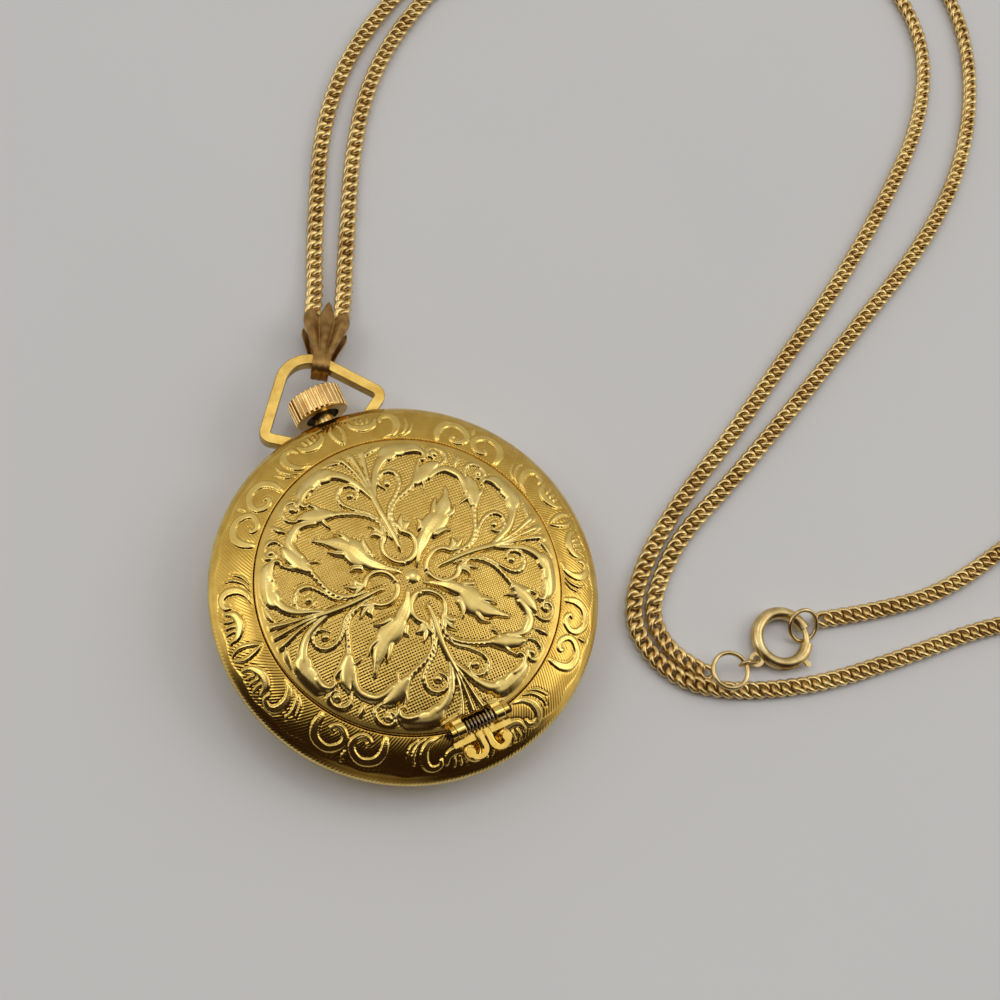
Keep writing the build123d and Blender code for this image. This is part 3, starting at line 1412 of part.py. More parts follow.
keep(bail.part, "bail")
keep(clasp_tube.part, "clasp_tube")
keep(clasp_bolt.part, "clasp_bolt")
keep(clasp_spring.part, "clasp_spring")
keep(clasp_connector.part, "clasp_connector")
keep(jump_ring_left.part, "jump_ring_left")
keep(jump_ring_right.part, "jump_ring_right")
keep(chain_left_near.part, "chain_left_near")
keep(chain_right_near.part, "chain_right_near")
keep(chain_left.part, "chain_left")
keep(chain_right.part, "chain_right")
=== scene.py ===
# %% [markdown]
# A pendant watch lies on its back on a table: a round gold-toned case with a chased, domed lid, a fluted
# crown inside a triangular bow, a folded bail, and a long curb chain that ends in a spring-ring clasp.
# The CAD model gives every size. This lesson dresses it: it makes the chased surfaces, the chain's links and
# the springs with numpy, and it gives every part a finish made from shader nodes.

# %% Tools and the frame
import math

import bmesh
import bpy
import numpy as np
from mathutils import Matrix, Vector


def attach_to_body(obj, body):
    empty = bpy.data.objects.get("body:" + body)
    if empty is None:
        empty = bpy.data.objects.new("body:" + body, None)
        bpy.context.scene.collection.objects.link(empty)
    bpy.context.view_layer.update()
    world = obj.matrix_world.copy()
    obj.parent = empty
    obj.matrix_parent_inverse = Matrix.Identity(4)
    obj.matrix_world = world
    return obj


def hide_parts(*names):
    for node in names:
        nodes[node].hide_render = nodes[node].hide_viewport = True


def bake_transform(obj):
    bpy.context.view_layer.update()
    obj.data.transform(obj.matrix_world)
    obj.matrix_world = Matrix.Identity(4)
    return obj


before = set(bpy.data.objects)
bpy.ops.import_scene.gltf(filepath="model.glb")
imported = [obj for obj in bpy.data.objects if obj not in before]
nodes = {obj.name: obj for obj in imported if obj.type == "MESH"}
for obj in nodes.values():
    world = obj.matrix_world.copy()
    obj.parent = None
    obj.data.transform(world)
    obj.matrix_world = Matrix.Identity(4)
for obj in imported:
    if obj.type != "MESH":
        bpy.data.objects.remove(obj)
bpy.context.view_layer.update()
MM = 0.001

# %% [markdown]
# A few small helpers carry the whole lesson. Colours are written as sRGB hex, as a paint chart gives them,
# and turned to the linear values that the renderer works in. One function adds a shader node with its
# settings and links. One turns arrays of points and faces into a piece whose faces point outwards, and one
# stores a number for each of its points. The rest is geometry: a smooth curve through a few places,
# distances along a line, points from radii and bearings, rings round a wire and the faces between rings.


# %% Helpers
def linear(code):
    """An sRGB hex colour as linear red, green, blue and alpha."""
    parts = np.array([int(code[i : i + 2], 16) for i in (1, 3, 5)]) / 255
    low = parts / 12.92
    high = ((parts + 0.055) / 1.055) ** 2.4
    return (*np.where(parts <= 0.04045, low, high).tolist(), 1.0)


# A Mix node has a set of inputs and an output for each data type. These are the numbers of its colours.
FIRST_COLOUR, SECOND_COLOUR, MIXED_COLOUR = 6, 7, 2


def add(tree, kind, **settings):
    """Adds a node. A setting called in_NAME sets or links that input, any other is the node's own."""
    node = tree.nodes.new("ShaderNode" + kind)
    for name, value in settings.items():
        if name.startswith("in_"):
            key = name[3:]
            key = int(key) if key.isdigit() else key.replace("_", " ")
            if isinstance(value, bpy.types.NodeSocket):
                tree.links.new(value, node.inputs[key])
            else:
                node.inputs[key].default_value = value
        else:
            setattr(node, name, value)
    return node


def grid_quads(rows, columns, wrap_rows=False, wrap_columns=False):
    """Quads between neighbours of a rows x columns grid of points, as an array of corner numbers."""
    row = np.arange(rows if wrap_rows else rows - 1)
    column = np.arange(columns if wrap_columns else columns - 1)
    a, b = np.meshgrid(row, column, indexing="ij")
    a2, b2 = (a + 1) % rows, (b + 1) % columns
    corners = [a * columns + b, a * columns + b2, a2 * columns + b2, a2 * columns + b]
    return np.stack(corners, axis=-1).reshape(-1, 4)


def end_fans(rings, sides):
    """Triangles that close a stack of rings. Its first and last end points come after the rings' points."""
    around = np.arange(sides)
    after = (around + 1) % sides
    first_end, last_end, last_ring = rings * sides, rings * sides + 1, (rings - 1) * sides
    first_fan = np.stack([np.full(sides, first_end), around, after], 1)
    last_fan = np.stack([np.full(sides, last_end), last_ring + after, last_ring + around], 1)
    return np.vstack([first_fan, last_fan])


def piece(name, points, quads, triangles=None, smooth=True):
    """A mesh object from points in millimetres, with its faces turned outwards."""
    faces = [quads] if triangles is None else [quads, triangles]
    sizes = np.concatenate([np.full(len(f), f.shape[1]) for f in faces]).astype(np.int32)
    corners = np.concatenate([f.ravel() for f in faces]).astype(np.int32)
    mesh = bpy.data.meshes.new(name)
    mesh.vertices.add(len(points))
    mesh.vertices.foreach_set("co", (np.asarray(points) * MM).astype(np.float32).ravel())
    mesh.loops.add(len(corners))
    mesh.loops.foreach_set("vertex_index", corners)
    mesh.polygons.add(len(sizes))
    mesh.polygons.foreach_set("loop_start", (np.cumsum(sizes) - sizes).astype(np.int32))
    mesh.update(calc_edges=True)
    mesh.validate()
    shell = bmesh.new()
    shell.from_mesh(mesh)
    bmesh.ops.recalc_face_normals(shell, faces=shell.faces)
    shell.to_mesh(mesh)
    shell.free()
    mesh.polygons.foreach_set("use_smooth", np.full(len(mesh.polygons), smooth))
    made = bpy.data.objects.new(name, mesh)
    bpy.context.scene.collection.objects.link(made)
    return made


def attach(made, name, values):
    """Stores one number for each point of a piece, for its material to read."""
    made.data.attributes.new(name, "FLOAT", "POINT").data.foreach_set("value", np.asarray(values, np.float32))


def smooth_curve(points, steps):
    """A Catmull-Rom curve through the points: each stretch blends its two neighbours' slopes."""
    p = np.asarray(points, float)
    p = np.vstack([2 * p[0] - p[1], p, 2 * p[-1] - p[-2]])
    t = np.linspace(0, 1, steps, endpoint=False)[:, None, None]
    a, b, c, d = p[:-3], p[1:-2], p[2:-1], p[3:]
    q = 0.5 * (2 * b + (c - a) * t + (2 * a - 5 * b + 4 * c - d) * t**2 + (3 * b - a - 3 * c + d) * t**3)
    return np.vstack([q.transpose(1, 0, 2).reshape(-1, p.shape[1]), p[-2]])


def measured(line):
    """How far along the line each of its points is."""
    return np.concatenate([[0], np.cumsum(np.linalg.norm(np.diff(line, axis=0), axis=1))])


def points_along(line, places):
    """Points at these distances along a line."""
    length = measured(line)
    return np.stack([np.interp(places, length, line[:, k]) for k in range(3)], -1)


def polar(radius, bearing, *heights):
    """Points at radii and bearings round the origin, with their heights after x and y if there are any."""
    return np.stack(np.broadcast_arrays(radius * np.cos(bearing), radius * np.sin(bearing), *heights), -1)


def unit(vectors):
    """The same directions with a length of one."""
    return vectors / np.linalg.norm(vectors, axis=-1, keepdims=True)


def wire_rings(line, ahead, outward, radius, sides):
    """Rings of points round a line that runs ahead. Each ring starts on the line's outward side."""
    beside = np.cross(ahead, outward)
    s = np.arange(sides) * 2 * np.pi / sides
    ring = outward[:, None] * np.cos(s)[None, :, None] + beside[:, None] * np.sin(s)[None, :, None]
    return line[:, None] + ring * np.broadcast_to(radius, len(line))[:, None, None]


# %% [markdown]
# The camera comes first. Its place and its three directions were fitted to the ellipse of the case and to the
# hinge and the crown. The picture is square, so a lens of 52.7 mm on a 36 mm sensor gives the photograph's
# field of view.

# %% Camera
picture_pixels, focal_pixels, sensor_mm = 1000, 1463.6, 36.0
camera_data = bpy.data.cameras.new("camera")
camera_data.sensor_width = sensor_mm
camera_data.lens = focal_pixels * sensor_mm / picture_pixels
camera_data.clip_start, camera_data.clip_end = 0.005, 5.0
camera = bpy.data.objects.new("camera", camera_data)
bpy.context.scene.collection.objects.link(camera)
look = Vector((0.31610974, 0.23588374, -0.91893063))
right = Vector((0.87878734, -0.43779273, 0.1899219))
camera_place = Vector((-31.2267, -27.5795, 128.6975)) * MM
axes = Matrix((right, right.cross(look), -look)).transposed()
camera.matrix_world = Matrix.Translation(camera_place) @ axes.to_4x4()
bpy.context.scene.camera = camera
bpy.context.scene.view_settings.view_transform = "Standard"
print("camera height mm", round(camera_place.z / MM, 1))

# %% [markdown]
# The chain is a curb chain: oval wire links, each twisted so that the next one lies flat against it. A single
# link is an oval wire whose plane turns nearly a quarter along its length. Here a link is made once as an
# array, and numpy lays it on every place of a smooth route. The route is a NURBS spline with listed control
# points, so the chain bends as loosely as a real one. Each strand starts inside the bail, runs out of it and
# lies on the table. Places in the bail are told from its shoulder, the point between its leaves at the fold.

# %% Route of the two strands
shoulder = np.array([2.001, 23.261, 3.7])
heading, droop = math.radians(31), math.radians(18.5)
forward = np.array(
    [math.sin(heading) * math.cos(droop), math.cos(heading) * math.cos(droop), -math.sin(droop)]
)
across = np.array([math.cos(heading), -math.sin(heading), 0.0])
leaf_up = np.cross(across, forward)
lie = 0.52
bail_middle, bail_mouth, strand_aside = 3.8, 8.824, 1.4
left_table = [
    (6.9, 35.3), (9.9, 41.4), (13.1, 47.6), (17.3, 53.3), (22.6, 58.2), (32, 64), (43, 69), (56, 71.8),
    (69, 70.6), (81, 64.6), (89.5, 54.5), (92, 42.5), (88, 31), (79.5, 20.7), (69, 13.6), (57, 8.1),
    (45.8, 2.8), (35.2, -1.9), (28.2, -4.6), (24.3, -7.3), (21.25, -10.3), (20.95, -13.6), (22.5, -16.8),
    (23.75, -18.0),
]
right_table = [
    (9.4, 33.4), (12.2, 38.8), (15.3, 44.7), (20.1, 51.8), (26.5, 57.6), (35, 62.6), (46, 66.6), (58, 67.6),
    (69.5, 65.4), (79, 58.6), (85, 48.5), (85, 37.5), (78.5, 28.0), (68.5, 20.3), (57.5, 13.1), (47.5, 7.8),
    (38.0, 2.5), (28.6, -2.0), (22.6, -6.1), (19.35, -9.8), (19.05, -13.6), (20.8, -17.4), (23.9, -19.8),
    (28.6, -21.85), (34.4, -23.5), (43, -24.55), (52, -25.3), (61, -27.6), (69.5, -27.6), (73.2, -22.4),
    (69, -17.9), (60, -19.0), (50, -20.6), (42, -19.3), (36.35, -17.75),
]


def strand_point(out, aside):
    """A point inside the bail, so far out along it and so far to its side."""
    return shoulder + forward * out + across * aside


def route(aside, table):
    """The control points of one strand: three in the bail, then the ones on the table."""
    start = [strand_point(bail_middle, 0), strand_point(bail_middle, aside), strand_point(bail_mouth, aside)]
    return np.array(start + [np.array([x, y, lie]) for x, y in table])


def spline_line(points):
    """The line of a NURBS spline with those control points, as an array of close points."""
    data = bpy.data.curves.new("route", "CURVE")
    data.dimensions = "3D"
    data.resolution_u = 16
    spline = data.splines.new("NURBS")
    spline.points.add(len(points) - 1)
    spline.points.foreach_set("co", np.hstack([points * MM, np.ones((len(points), 1))]).ravel())
    spline.order_u = 3
    spline.use_endpoint_u = True
    holder = bpy.data.objects.new("route", data)
    mesh = bpy.data.meshes.new_from_object(holder)
    line = np.empty(len(mesh.vertices) * 3)
    mesh.vertices.foreach_get("co", line)
    bpy.data.objects.remove(holder)
    bpy.data.curves.remove(data)
    bpy.data.meshes.remove(mesh)
    return line.reshape(-1, 3) / MM


strand_lines = {
    "left": spline_line(route(-strand_aside, left_table)),
    "right": spline_line(route(strand_aside, right_table)),
}
for side, line in strand_lines.items():
    print(side, "strand mm", round(measured(line)[-1], 1))

# %% [markdown]
# One link is 2.1 mm long and 1.8 mm wide, of wire 0.54 mm thick. At a pitch of 1.06 mm each link's end just
# touches the inside of the next one's. Twelve sides along and six around are enough for so small a link,
# because there are about 500 of them. Each one is tilted by chance a little, as a chain that was laid down
# by hand is, and is lifted where it would sink into the table.

# %% Curb links
link_pitch, link_wire, link_width = 1.06, 0.54, 1.8
half_long, half_wide = (link_pitch + link_wire) / 2, (link_width - link_wire) / 2
link_twist, link_tilt = np.radians(42), 0.07
heading_reach, table_clearance = 0.5, 0.02


def curb_link(along=12, around=6):
    """An oval wire, twisted in proportion to the place along it: x = A cos t, y and z = B sin t, turned."""
    t = np.arange(along) * 2 * np.pi / along
    turn = link_twist * np.cos(t)
    aside = half_wide * np.sin(t)
    line = np.stack([half_long * np.cos(t), aside * np.cos(turn), aside * np.sin(turn)], 1)
    ahead = unit(np.roll(line, -1, 0) - np.roll(line, 1, 0))
    outward = unit(line)
    outward = unit(outward - ahead * (outward * ahead).sum(1)[:, None])
    rings = wire_rings(line, ahead, outward, link_wire / 2, around)
    return rings.reshape(-1, 3), grid_quads(along, around, True, True)


def lay_links(name, line, start, end):
    """Lays links at an even pitch on a stretch of the line, flat side up. Returns them and the stretch."""
    length = measured(line)
    count = round((end - start) / link_pitch)
    place = start + (np.arange(count) + 0.5) * (end - start) / count
    centre, near, far = (points_along(line, place + step) for step in (0, -heading_reach, heading_reach))
    ahead = unit(far - near)
    up = unit([0, 0, 1] - ahead * ahead[:, 2:3])
    side = np.cross(up, ahead)
    shape, quads = curb_link()
    rng = np.random.default_rng(5)
    tilt = rng.normal(0, link_tilt, count)
    side, up = (
        side * np.cos(tilt)[:, None] + up * np.sin(tilt)[:, None],
        up * np.cos(tilt)[:, None] - side * np.sin(tilt)[:, None],
    )
    axes = np.stack([ahead, side, up], 1)
    points = centre[:, None] + np.einsum("pk,nkc->npc", shape, axes)
    lift = np.maximum(0, table_clearance - points[:, :, 2].min(1))
    points[:, :, 2] += lift[:, None]
    all_quads = (quads[None] + np.arange(count)[:, None, None] * len(shape)).reshape(-1, 4)
    made = piece(name, points.reshape(-1, 3), all_quads)
    inside = (length > start) & (length < end)
    stretch = np.vstack([points_along(line, start), line[inside], points_along(line, end)])
    print(name, count, "links")
    return made, stretch


split_at = {"left": 34.3, "right": 35.1}
chain_pieces = []
for side, line in strand_lines.items():
    total = measured(line)[-1]
    for part, start, end in (("near", 0.0, split_at[side]), ("far", split_at[side], total)):
        near = part == "near"
        made, stretch = lay_links(f"curb_links_{side}_{part}", line, start, end)
        chain_pieces.append(made)
        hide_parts(f"chain_{side}_near" if near else f"chain_{side}")
        if near:
            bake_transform(made)
        else:
            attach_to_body(made, "case")

# %% [markdown]
# The table is a plain pale board, and its colour gives the picture its pale ground. Polished gold mostly
# shows what is around it, tinted by its own yellow, so the room matters as much as the metal. The room is
# a run of tones from behind the watch to its front: pale over most of it, and dark brown in front on the
# left, which is what the lower left of the case mirrors. The camera itself sees a plain pale wall instead.
# Three soft lamps are a window on the right, the ceiling and a smaller window on the left.

# %% Table, room and lamps
table_half, table_drop = 2000.0, 0.01
table_corners = np.array([[-1, -1, 0], [1, -1, 0], [1, 1, 0], [-1, 1, 0]]) * table_half - [0, 0, table_drop]
table = piece("table", table_corners, np.array([[0, 1, 2, 3]]), smooth=False)

paint = bpy.data.materials.new("matt_painted_board")
paint.use_nodes = True
tree = paint.node_tree
shader = tree.nodes["Principled BSDF"]
shader.inputs["Roughness"].default_value = 0.85
place = add(tree, "TexCoord").outputs["Object"]
grain = add(tree, "TexNoise", in_Vector=place, in_Scale=14.0, in_Detail=3.0)
tone = add(tree, "ValToRGB", in_Fac=grain.outputs["Fac"])
tone.color_ramp.elements[0].color = linear("#E0E2E9")
tone.color_ramp.elements[1].color = linear("#E9EBF2")
tree.links.new(tone.outputs["Color"], shader.inputs["Base Color"])
table.data.materials.append(paint)

world = bpy.data.worlds.new("room")
bpy.context.scene.world = world
world.use_nodes = True
tree = world.node_tree
backdrop = tree.nodes["Background"]
direction = add(tree, "TexCoord").outputs["Generated"]
toward_front = add(tree, "VectorMath", operation="DOT_PRODUCT", in_0=direction, in_1=(-0.45, -0.75, 0.2))
around = add(tree, "MapRange", in_Value=toward_front.outputs["Value"], in_From_Min=-1.0, in_From_Max=1.0)
room = add(tree, "ValToRGB", in_Fac=around.outputs["Result"])
stops = room.color_ramp.elements
stops[0].position, stops[0].color = 0.12, linear("#B9B5AB")
stops[1].position, stops[1].color = 0.97, linear("#8F8474")
pale_tones = {0.36: "#CFCBC2", 0.45: "#E9E5DC", 0.55: "#F4F1EA", 0.62: "#D6CFC2"}
dark_tones = {0.7: "#2A1D16", 0.91: "#2A1D16"}
for where, colour in (pale_tones | dark_tones).items():
    stops.new(where).color = linear(colour)
seen = add(tree, "LightPath").outputs["Is Camera Ray"]
view = add(tree, "Mix", data_type="RGBA", in_Factor=seen)
tree.links.new(room.outputs["Color"], view.inputs[FIRST_COLOUR])
view.inputs[SECOND_COLOUR].default_value = linear("#D6D5D2")
tree.links.new(view.outputs[MIXED_COLOUR], backdrop.inputs["Color"])
backdrop.inputs["Strength"].default_value = 1.08


def softbox(name, place, target, width, height, power, colour):
    """A rectangular lamp at a place, facing a target, both in millimetres."""
    data = bpy.data.lights.new(name, "AREA")
    data.shape = "RECTANGLE"
    data.size, data.size_y = width * MM, height * MM
    data.energy = power
    data.color = linear(colour)[:3]
    lamp = bpy.data.objects.new(name, data)
    lamp.location = Vector(place) * MM
    lamp.rotation_euler = (Vector(target) - Vector(place)).to_track_quat("-Z", "Y").to_euler()
    bpy.context.scene.collection.objects.link(lamp)
    return lamp


softbox("window", (400, -110, 330), (0, 0, 0), 300, 240, 0.3, "#FFFDF8")
softbox("ceiling", (120, 160, 500), (0, 0, 0), 160, 120, 0.12, "#FFF8EC")
softbox("left_window", (-230, 110, 330), (0, 0, 0), 160, 130, 0.11, "#FFFFFF")

# %% [markdown]
# Every gold finish here is a thin gold plating over brass. The eye reads it from four things: the plate's own
# yellow, how polished it is, the fine marks of how it was made, and the shade in its hollows, which here is
# painted into the colour as a darker tone. One function builds the first three, for bare metals too, and each
# finish gives it its own numbers. The painted shade in the hollows is added later, to the two chased pieces
# that have them.


# %% Metals
def metal(name, light, dark, roughness, grain_mm=0.05, grain_depth=0.004, tone_mm=1.2):
    """A plated or bare metal: two of its tones mixed by a soft noise, with a fine surface grain as bump."""
    made = bpy.data.materials.new(name)
    made.use_nodes = True
    tree = made.node_tree
    shader = tree.nodes["Principled BSDF"]
    shader.inputs["Metallic"].default_value = 1.0
    place = add(tree, "TexCoord").outputs["Object"]
    tone = add(tree, "TexNoise", in_Vector=place, in_Scale=1 / (tone_mm * MM), in_Detail=2.0)
    mix = add(tree, "ValToRGB", in_Fac=tone.outputs["Fac"])
    mix.color_ramp.elements[0].position, mix.color_ramp.elements[0].color = 0.3, linear(dark)
    mix.color_ramp.elements[1].position, mix.color_ramp.elements[1].color = 0.65, linear(light)
    tree.links.new(mix.outputs["Color"], shader.inputs["Base Color"])
    fine = add(tree, "TexNoise", in_Vector=place, in_Scale=1 / (grain_mm * MM), in_Detail=1.0)
    rough = add(
        tree, "MapRange", in_Value=fine.outputs["Fac"], in_To_Min=roughness * 0.75, in_To_Max=roughness * 1.3
    )
    tree.links.new(rough.outputs["Result"], shader.inputs["Roughness"])
    bump = add(tree, "Bump", in_Height=fine.outputs["Fac"], in_Distance=grain_depth * MM, in_Strength=0.5)
    tree.links.new(bump.outputs["Normal"], shader.inputs["Normal"])
    return made


def wave(tree, value, pitch_mm):
    """A cosine of a place in metres, one wave to each pitch."""
    turns = add(tree, "Math", operation="MULTIPLY", in_0=value, in_1=2 * math.pi / (pitch_mm * MM))
    return add(tree, "Math", operation="COSINE", in_0=turns.outputs[0]).outputs[0]


# Plated gold: the polished plate is a clear yellow mirror, and the hinge's is a little redder. The crown's is
# pinkish, the bow's and the clasp's are duller and rubbed, and the chain's drawn wire is soft and bright.
gold_polished = metal("gold_plate_polished", "#F2D67E", "#EBCC73", 0.14, tone_mm=4.0)
gold_hinge = metal("gold_plate_hinge", "#ECCB70", "#DDB858", 0.13)
gold_crown = metal("gold_plate_rose_tinted", "#EACB8C", "#D3AC6E", 0.22)
gold_bow = metal("gold_plate_yellow", "#CDB062", "#B3924A", 0.28)
gold_chain = metal("gold_filled_wire", "#F0D698", "#D6B67A", 0.28, tone_mm=3.0)
gold_clasp = metal("gold_filled_pale", "#E6D09A", "#C3A66C", 0.27)

# Bare brass: tarnish makes the bail brown and dull in patches, and browning makes the hinge's pin almost
# black. Cut, turned and grained brass inside the watch is clean and yellow.
aged_brass = metal("brass_tarnished", "#B58E55", "#8A6638", 0.34, tone_mm=0.8)
dark_brass = metal("brass_browned", "#5A4634", "#33261C", 0.3)
wheel_brass = metal("brass_cut_and_grained", "#E3C079", "#CCA45A", 0.26)
ring_brass = metal("brass_turned", "#D9B873", "#BF9850", 0.24)

# Steel and nickel: hard and cool, with a bronzed tone on the springs and a soft brushed gleam on the plates.
steel_spring = metal("spring_steel_bronzed", "#C2B191", "#8F7E62", 0.2)
tool_steel = metal("steel_ground_and_polished", "#BDBEC0", "#9FA1A4", 0.18)
nickel = metal("nickel_plate_brushed", "#D2CEC4", "#BDB8AD", 0.26)
print("metals made")

# %% [markdown]
# The ornament on the lid is pressed relief. On the real lid a steel die raised the scrolls from behind and
# cut a fine cross-hatch into the ground between them. Here the lid is a grid of rings and spokes, and the
# height of each point comes from how near it is to the ornament's strokes: a round ridge on each stroke, with
# a shallow groove along its foot. The scrolls repeat four times and mirror within each quarter, so the
# points are folded into one eighth and those strokes are drawn only there. The four long leaves sway to one
# side, so they have a frame of their own.


# %% Ridges along strokes
tooth_depth, vein_reach, cup_share, feather_depth, feather_slant = 0.26, 0.12, 0.7, 0.2, 0.9
end_height, end_slope, groove_reach, search_margin = 0.45, 12, 0.13, 0.3


def stroke(points, half_widths, height, exponent=0.5, teeth=0, vein=0, cup=0, feather=0):
    """One stroke: where it runs, its half widths along it and its height, all in millimetres, and its finish.

    An exponent of a half gives a half-round ridge, and a smaller one a fuller ridge. Teeth and feather are
    the lengths between notches. Vein and cup are the shares of the height that a line or a hollow along the
    middle takes off.
    """
    finish = dict(exponent=exponent, teeth=teeth, vein=vein, cup=cup, feather=feather)
    return dict(points=points, half_widths=half_widths, height=height, **finish)


def ridges(points, strokes):
    """Height and groove over points.

    A stroke gives height x (1 - (distance / half width)^2)^exponent, less its finish, and the highest stroke
    counts. The groove is a bell curve of the distance past the nearest edge.
    """
    top = np.zeros(len(points))
    groove = np.zeros(len(points))
    for mark in strokes:
        line = smooth_curve(mark["points"], 6)
        travel = measured(line)
        stations = np.linspace(0, 1, len(line))
        width = np.interp(stations, np.linspace(0, 1, len(mark["half_widths"])), mark["half_widths"])
        if mark["teeth"]:
            width = width * (1 - tooth_depth * np.abs(np.sin(np.pi * travel / mark["teeth"])) ** 3)
        rise = mark["height"] * np.clip(np.minimum(stations, 1 - stations) * end_slope + end_height, 0, 1)
        reach = width.max() + search_margin
        near = np.flatnonzero(np.all((points > line.min(0) - reach) & (points < line.max(0) + reach), axis=1))
        if not len(near):
            continue
        p = points[near]
        past_edge = np.full(len(p), 1e9)
        value = np.zeros(len(p))
        for i in range(len(line) - 1):
            a, d = line[i], line[i + 1] - line[i]
            t = np.clip(((p - a) @ d) / max(d @ d, 1e-12), 0, 1)
            off = p - a - t[:, None] * d
            gap = np.hypot(off[:, 0], off[:, 1])
            w = width[i] + t * (width[i + 1] - width[i])
            h = rise[i] + t * (rise[i + 1] - rise[i])
            v = h * np.clip(1 - (gap / w) ** 2, 0, 1) ** mark["exponent"]
            if mark["cup"]:
                v = v * (1 - mark["cup"] * np.clip(1 - (gap / w / cup_share) ** 2, 0, 1))
            if mark["vein"]:
                v = v * (1 - mark["vein"] * np.exp(-((gap / vein_reach) ** 2)))
            if mark["feather"]:
                along = travel[i] + t * (travel[i + 1] - travel[i]) - gap * feather_slant
                v = v * (1 - feather_depth * (0.5 + 0.5 * np.cos(2 * np.pi * along / mark["feather"])))
            value = np.maximum(value, v)
            past_edge = np.minimum(past_edge, gap - w)
        top[near] = np.maximum(top[near], value)
        groove[near] = np.maximum(groove[near], np.exp(-((np.clip(past_edge, 0, None) / groove_reach) ** 2)))
    return top, groove


def arc_points(centre, radius, start, end, count=9):
    """Points on a circle between two bearings in degrees."""
    return centre + polar(radius, np.radians(np.linspace(start, end, count)))


# %% [markdown]
# These are the lid's strokes, in millimetres from its middle: x runs out along a stem, a long leaf or a motif
# of the rim, and y runs to its side. Most strokes swell and end in a point, as a graver leaves them.

# %% Strokes of the lid
stem_strokes = [
    # The arch round the foot of the stem, and the small leaf of three lobes that it ends in.
    stroke(np.vstack([arc_points((3.0, 0), 1.5, 180, 38), [(4.5, 0.8)]]), (0.26, 0.26, 0.28, 0.32), 0.3),
    stroke([(4.3, 0.85), (4.85, 0.72), (5.3, 0.5)], (0.32, 0.28, 0.06), 0.28),
    stroke([(4.25, 0.9), (4.75, 1.35), (4.75, 1.95)], (0.32, 0.36, 0.05), 0.29),
    stroke([(4.4, 0.85), (5.15, 1.1), (5.75, 1.55)], (0.32, 0.3, 0.05), 0.27),
    # The stem, and the rays that it splits into.
    stroke([(2.7, 0), (4, 0), (6, 0), (8.0, 0), (9.2, 0)], (0.2, 0.27, 0.27, 0.3, 0.16), 0.32),
    stroke([(8.3, 0), (10.5, 0), (13.05, 0)], (0.12, 0.17, 0.28), 0.26),
    stroke([(8.3, 0.1), (10.8, 0.48), (13.0, 1.1)], (0.12, 0.17, 0.28), 0.26),
    # The outer branch, the leaf along the rim that it becomes, the leaf's hooked tip and a blade at the rim.
    stroke(
        [(8.0, 0.08), (9.2, 0.6), (10.4, 1.2), (11.3, 2.1), (11.7, 3.2)],
        (0.2, 0.28, 0.34, 0.42, 0.4), 0.28,
    ),
    stroke(
        [(11.15, 1.9), (11.75, 3.0), (11.85, 4.1), (11.45, 5.1), (10.75, 6.0)],
        (0.3, 0.75, 0.9, 0.8, 0.3), 0.27, exponent=0.35, teeth=1.35, vein=0.25,
    ),
    stroke(
        [(11.2, 4.6), (10.95, 5.5), (10.35, 6.05), (9.85, 5.85), (9.95, 5.4)],
        (0.3, 0.3, 0.26, 0.2, 0.12), 0.33,
    ),
    stroke([(12.4, 1.3), (12.7, 2.1), (12.75, 3.0)], (0.1, 0.26, 0.08), 0.2),
    # The scroll beside the stem, and the bead in its eye.
    stroke(
        [
            (5.6, 0.2), (6.9, 0.95), (7.6, 1.9), (8.5, 2.75), (9.5, 2.85), (10.1, 2.2), (9.95, 1.4),
            (9.2, 1.05), (8.6, 1.45),
        ],
        (0.1, 0.15, 0.19, 0.22, 0.24, 0.22, 0.19, 0.17, 0.14), 0.23, feather=0.42,
    ),
    stroke([(9.05, 1.8), (9.06, 1.81)], (0.36, 0.36), 0.3),
    # The feathered branch, the trumpet flower that it ends in, and the flower's two lips.
    stroke(
        [(3.9, 0.3), (5.2, 0.45), (6.3, 0.85), (7.1, 1.8), (7.6, 3.0), (8.05, 4.3)],
        (0.1, 0.24, 0.26, 0.22, 0.24, 0.3), 0.27, feather=0.5,
    ),
    stroke([(7.95, 4.0), (8.45, 5.1), (8.85, 6.0), (9.05, 6.9)], (0.34, 0.8, 0.66, 0.2), 0.36, exponent=0.4),
    stroke([(6.9, 4.55), (7.6, 4.85), (8.3, 4.85)], (0.05, 0.16, 0.3), 0.3),
    stroke([(8.4, 4.8), (9.3, 5.0), (10.0, 5.6)], (0.3, 0.2, 0.05), 0.3),
]
leaf_strokes = [
    # The long leaf, and the two hooks on each of its sides.
    stroke(
        [(1.2, 0), (2.4, 0), (3.6, 0), (4.8, 0), (5.8, 0), (6.8, 0), (7.7, 0), (8.6, 0), (9.4, 0)],
        (0.12, 0.32, 0.62, 1.0, 1.15, 0.85, 0.6, 0.34, 0.06), 0.38, exponent=0.36, teeth=2.05, vein=0.3,
    ),
    stroke([(4.4, 0.7), (5.1, 1.2), (5.3, 1.65)], (0.4, 0.26, 0.05), 0.33),
    stroke([(6.3, 0.6), (7.1, 0.95), (7.9, 0.9)], (0.34, 0.24, 0.05), 0.33),
]
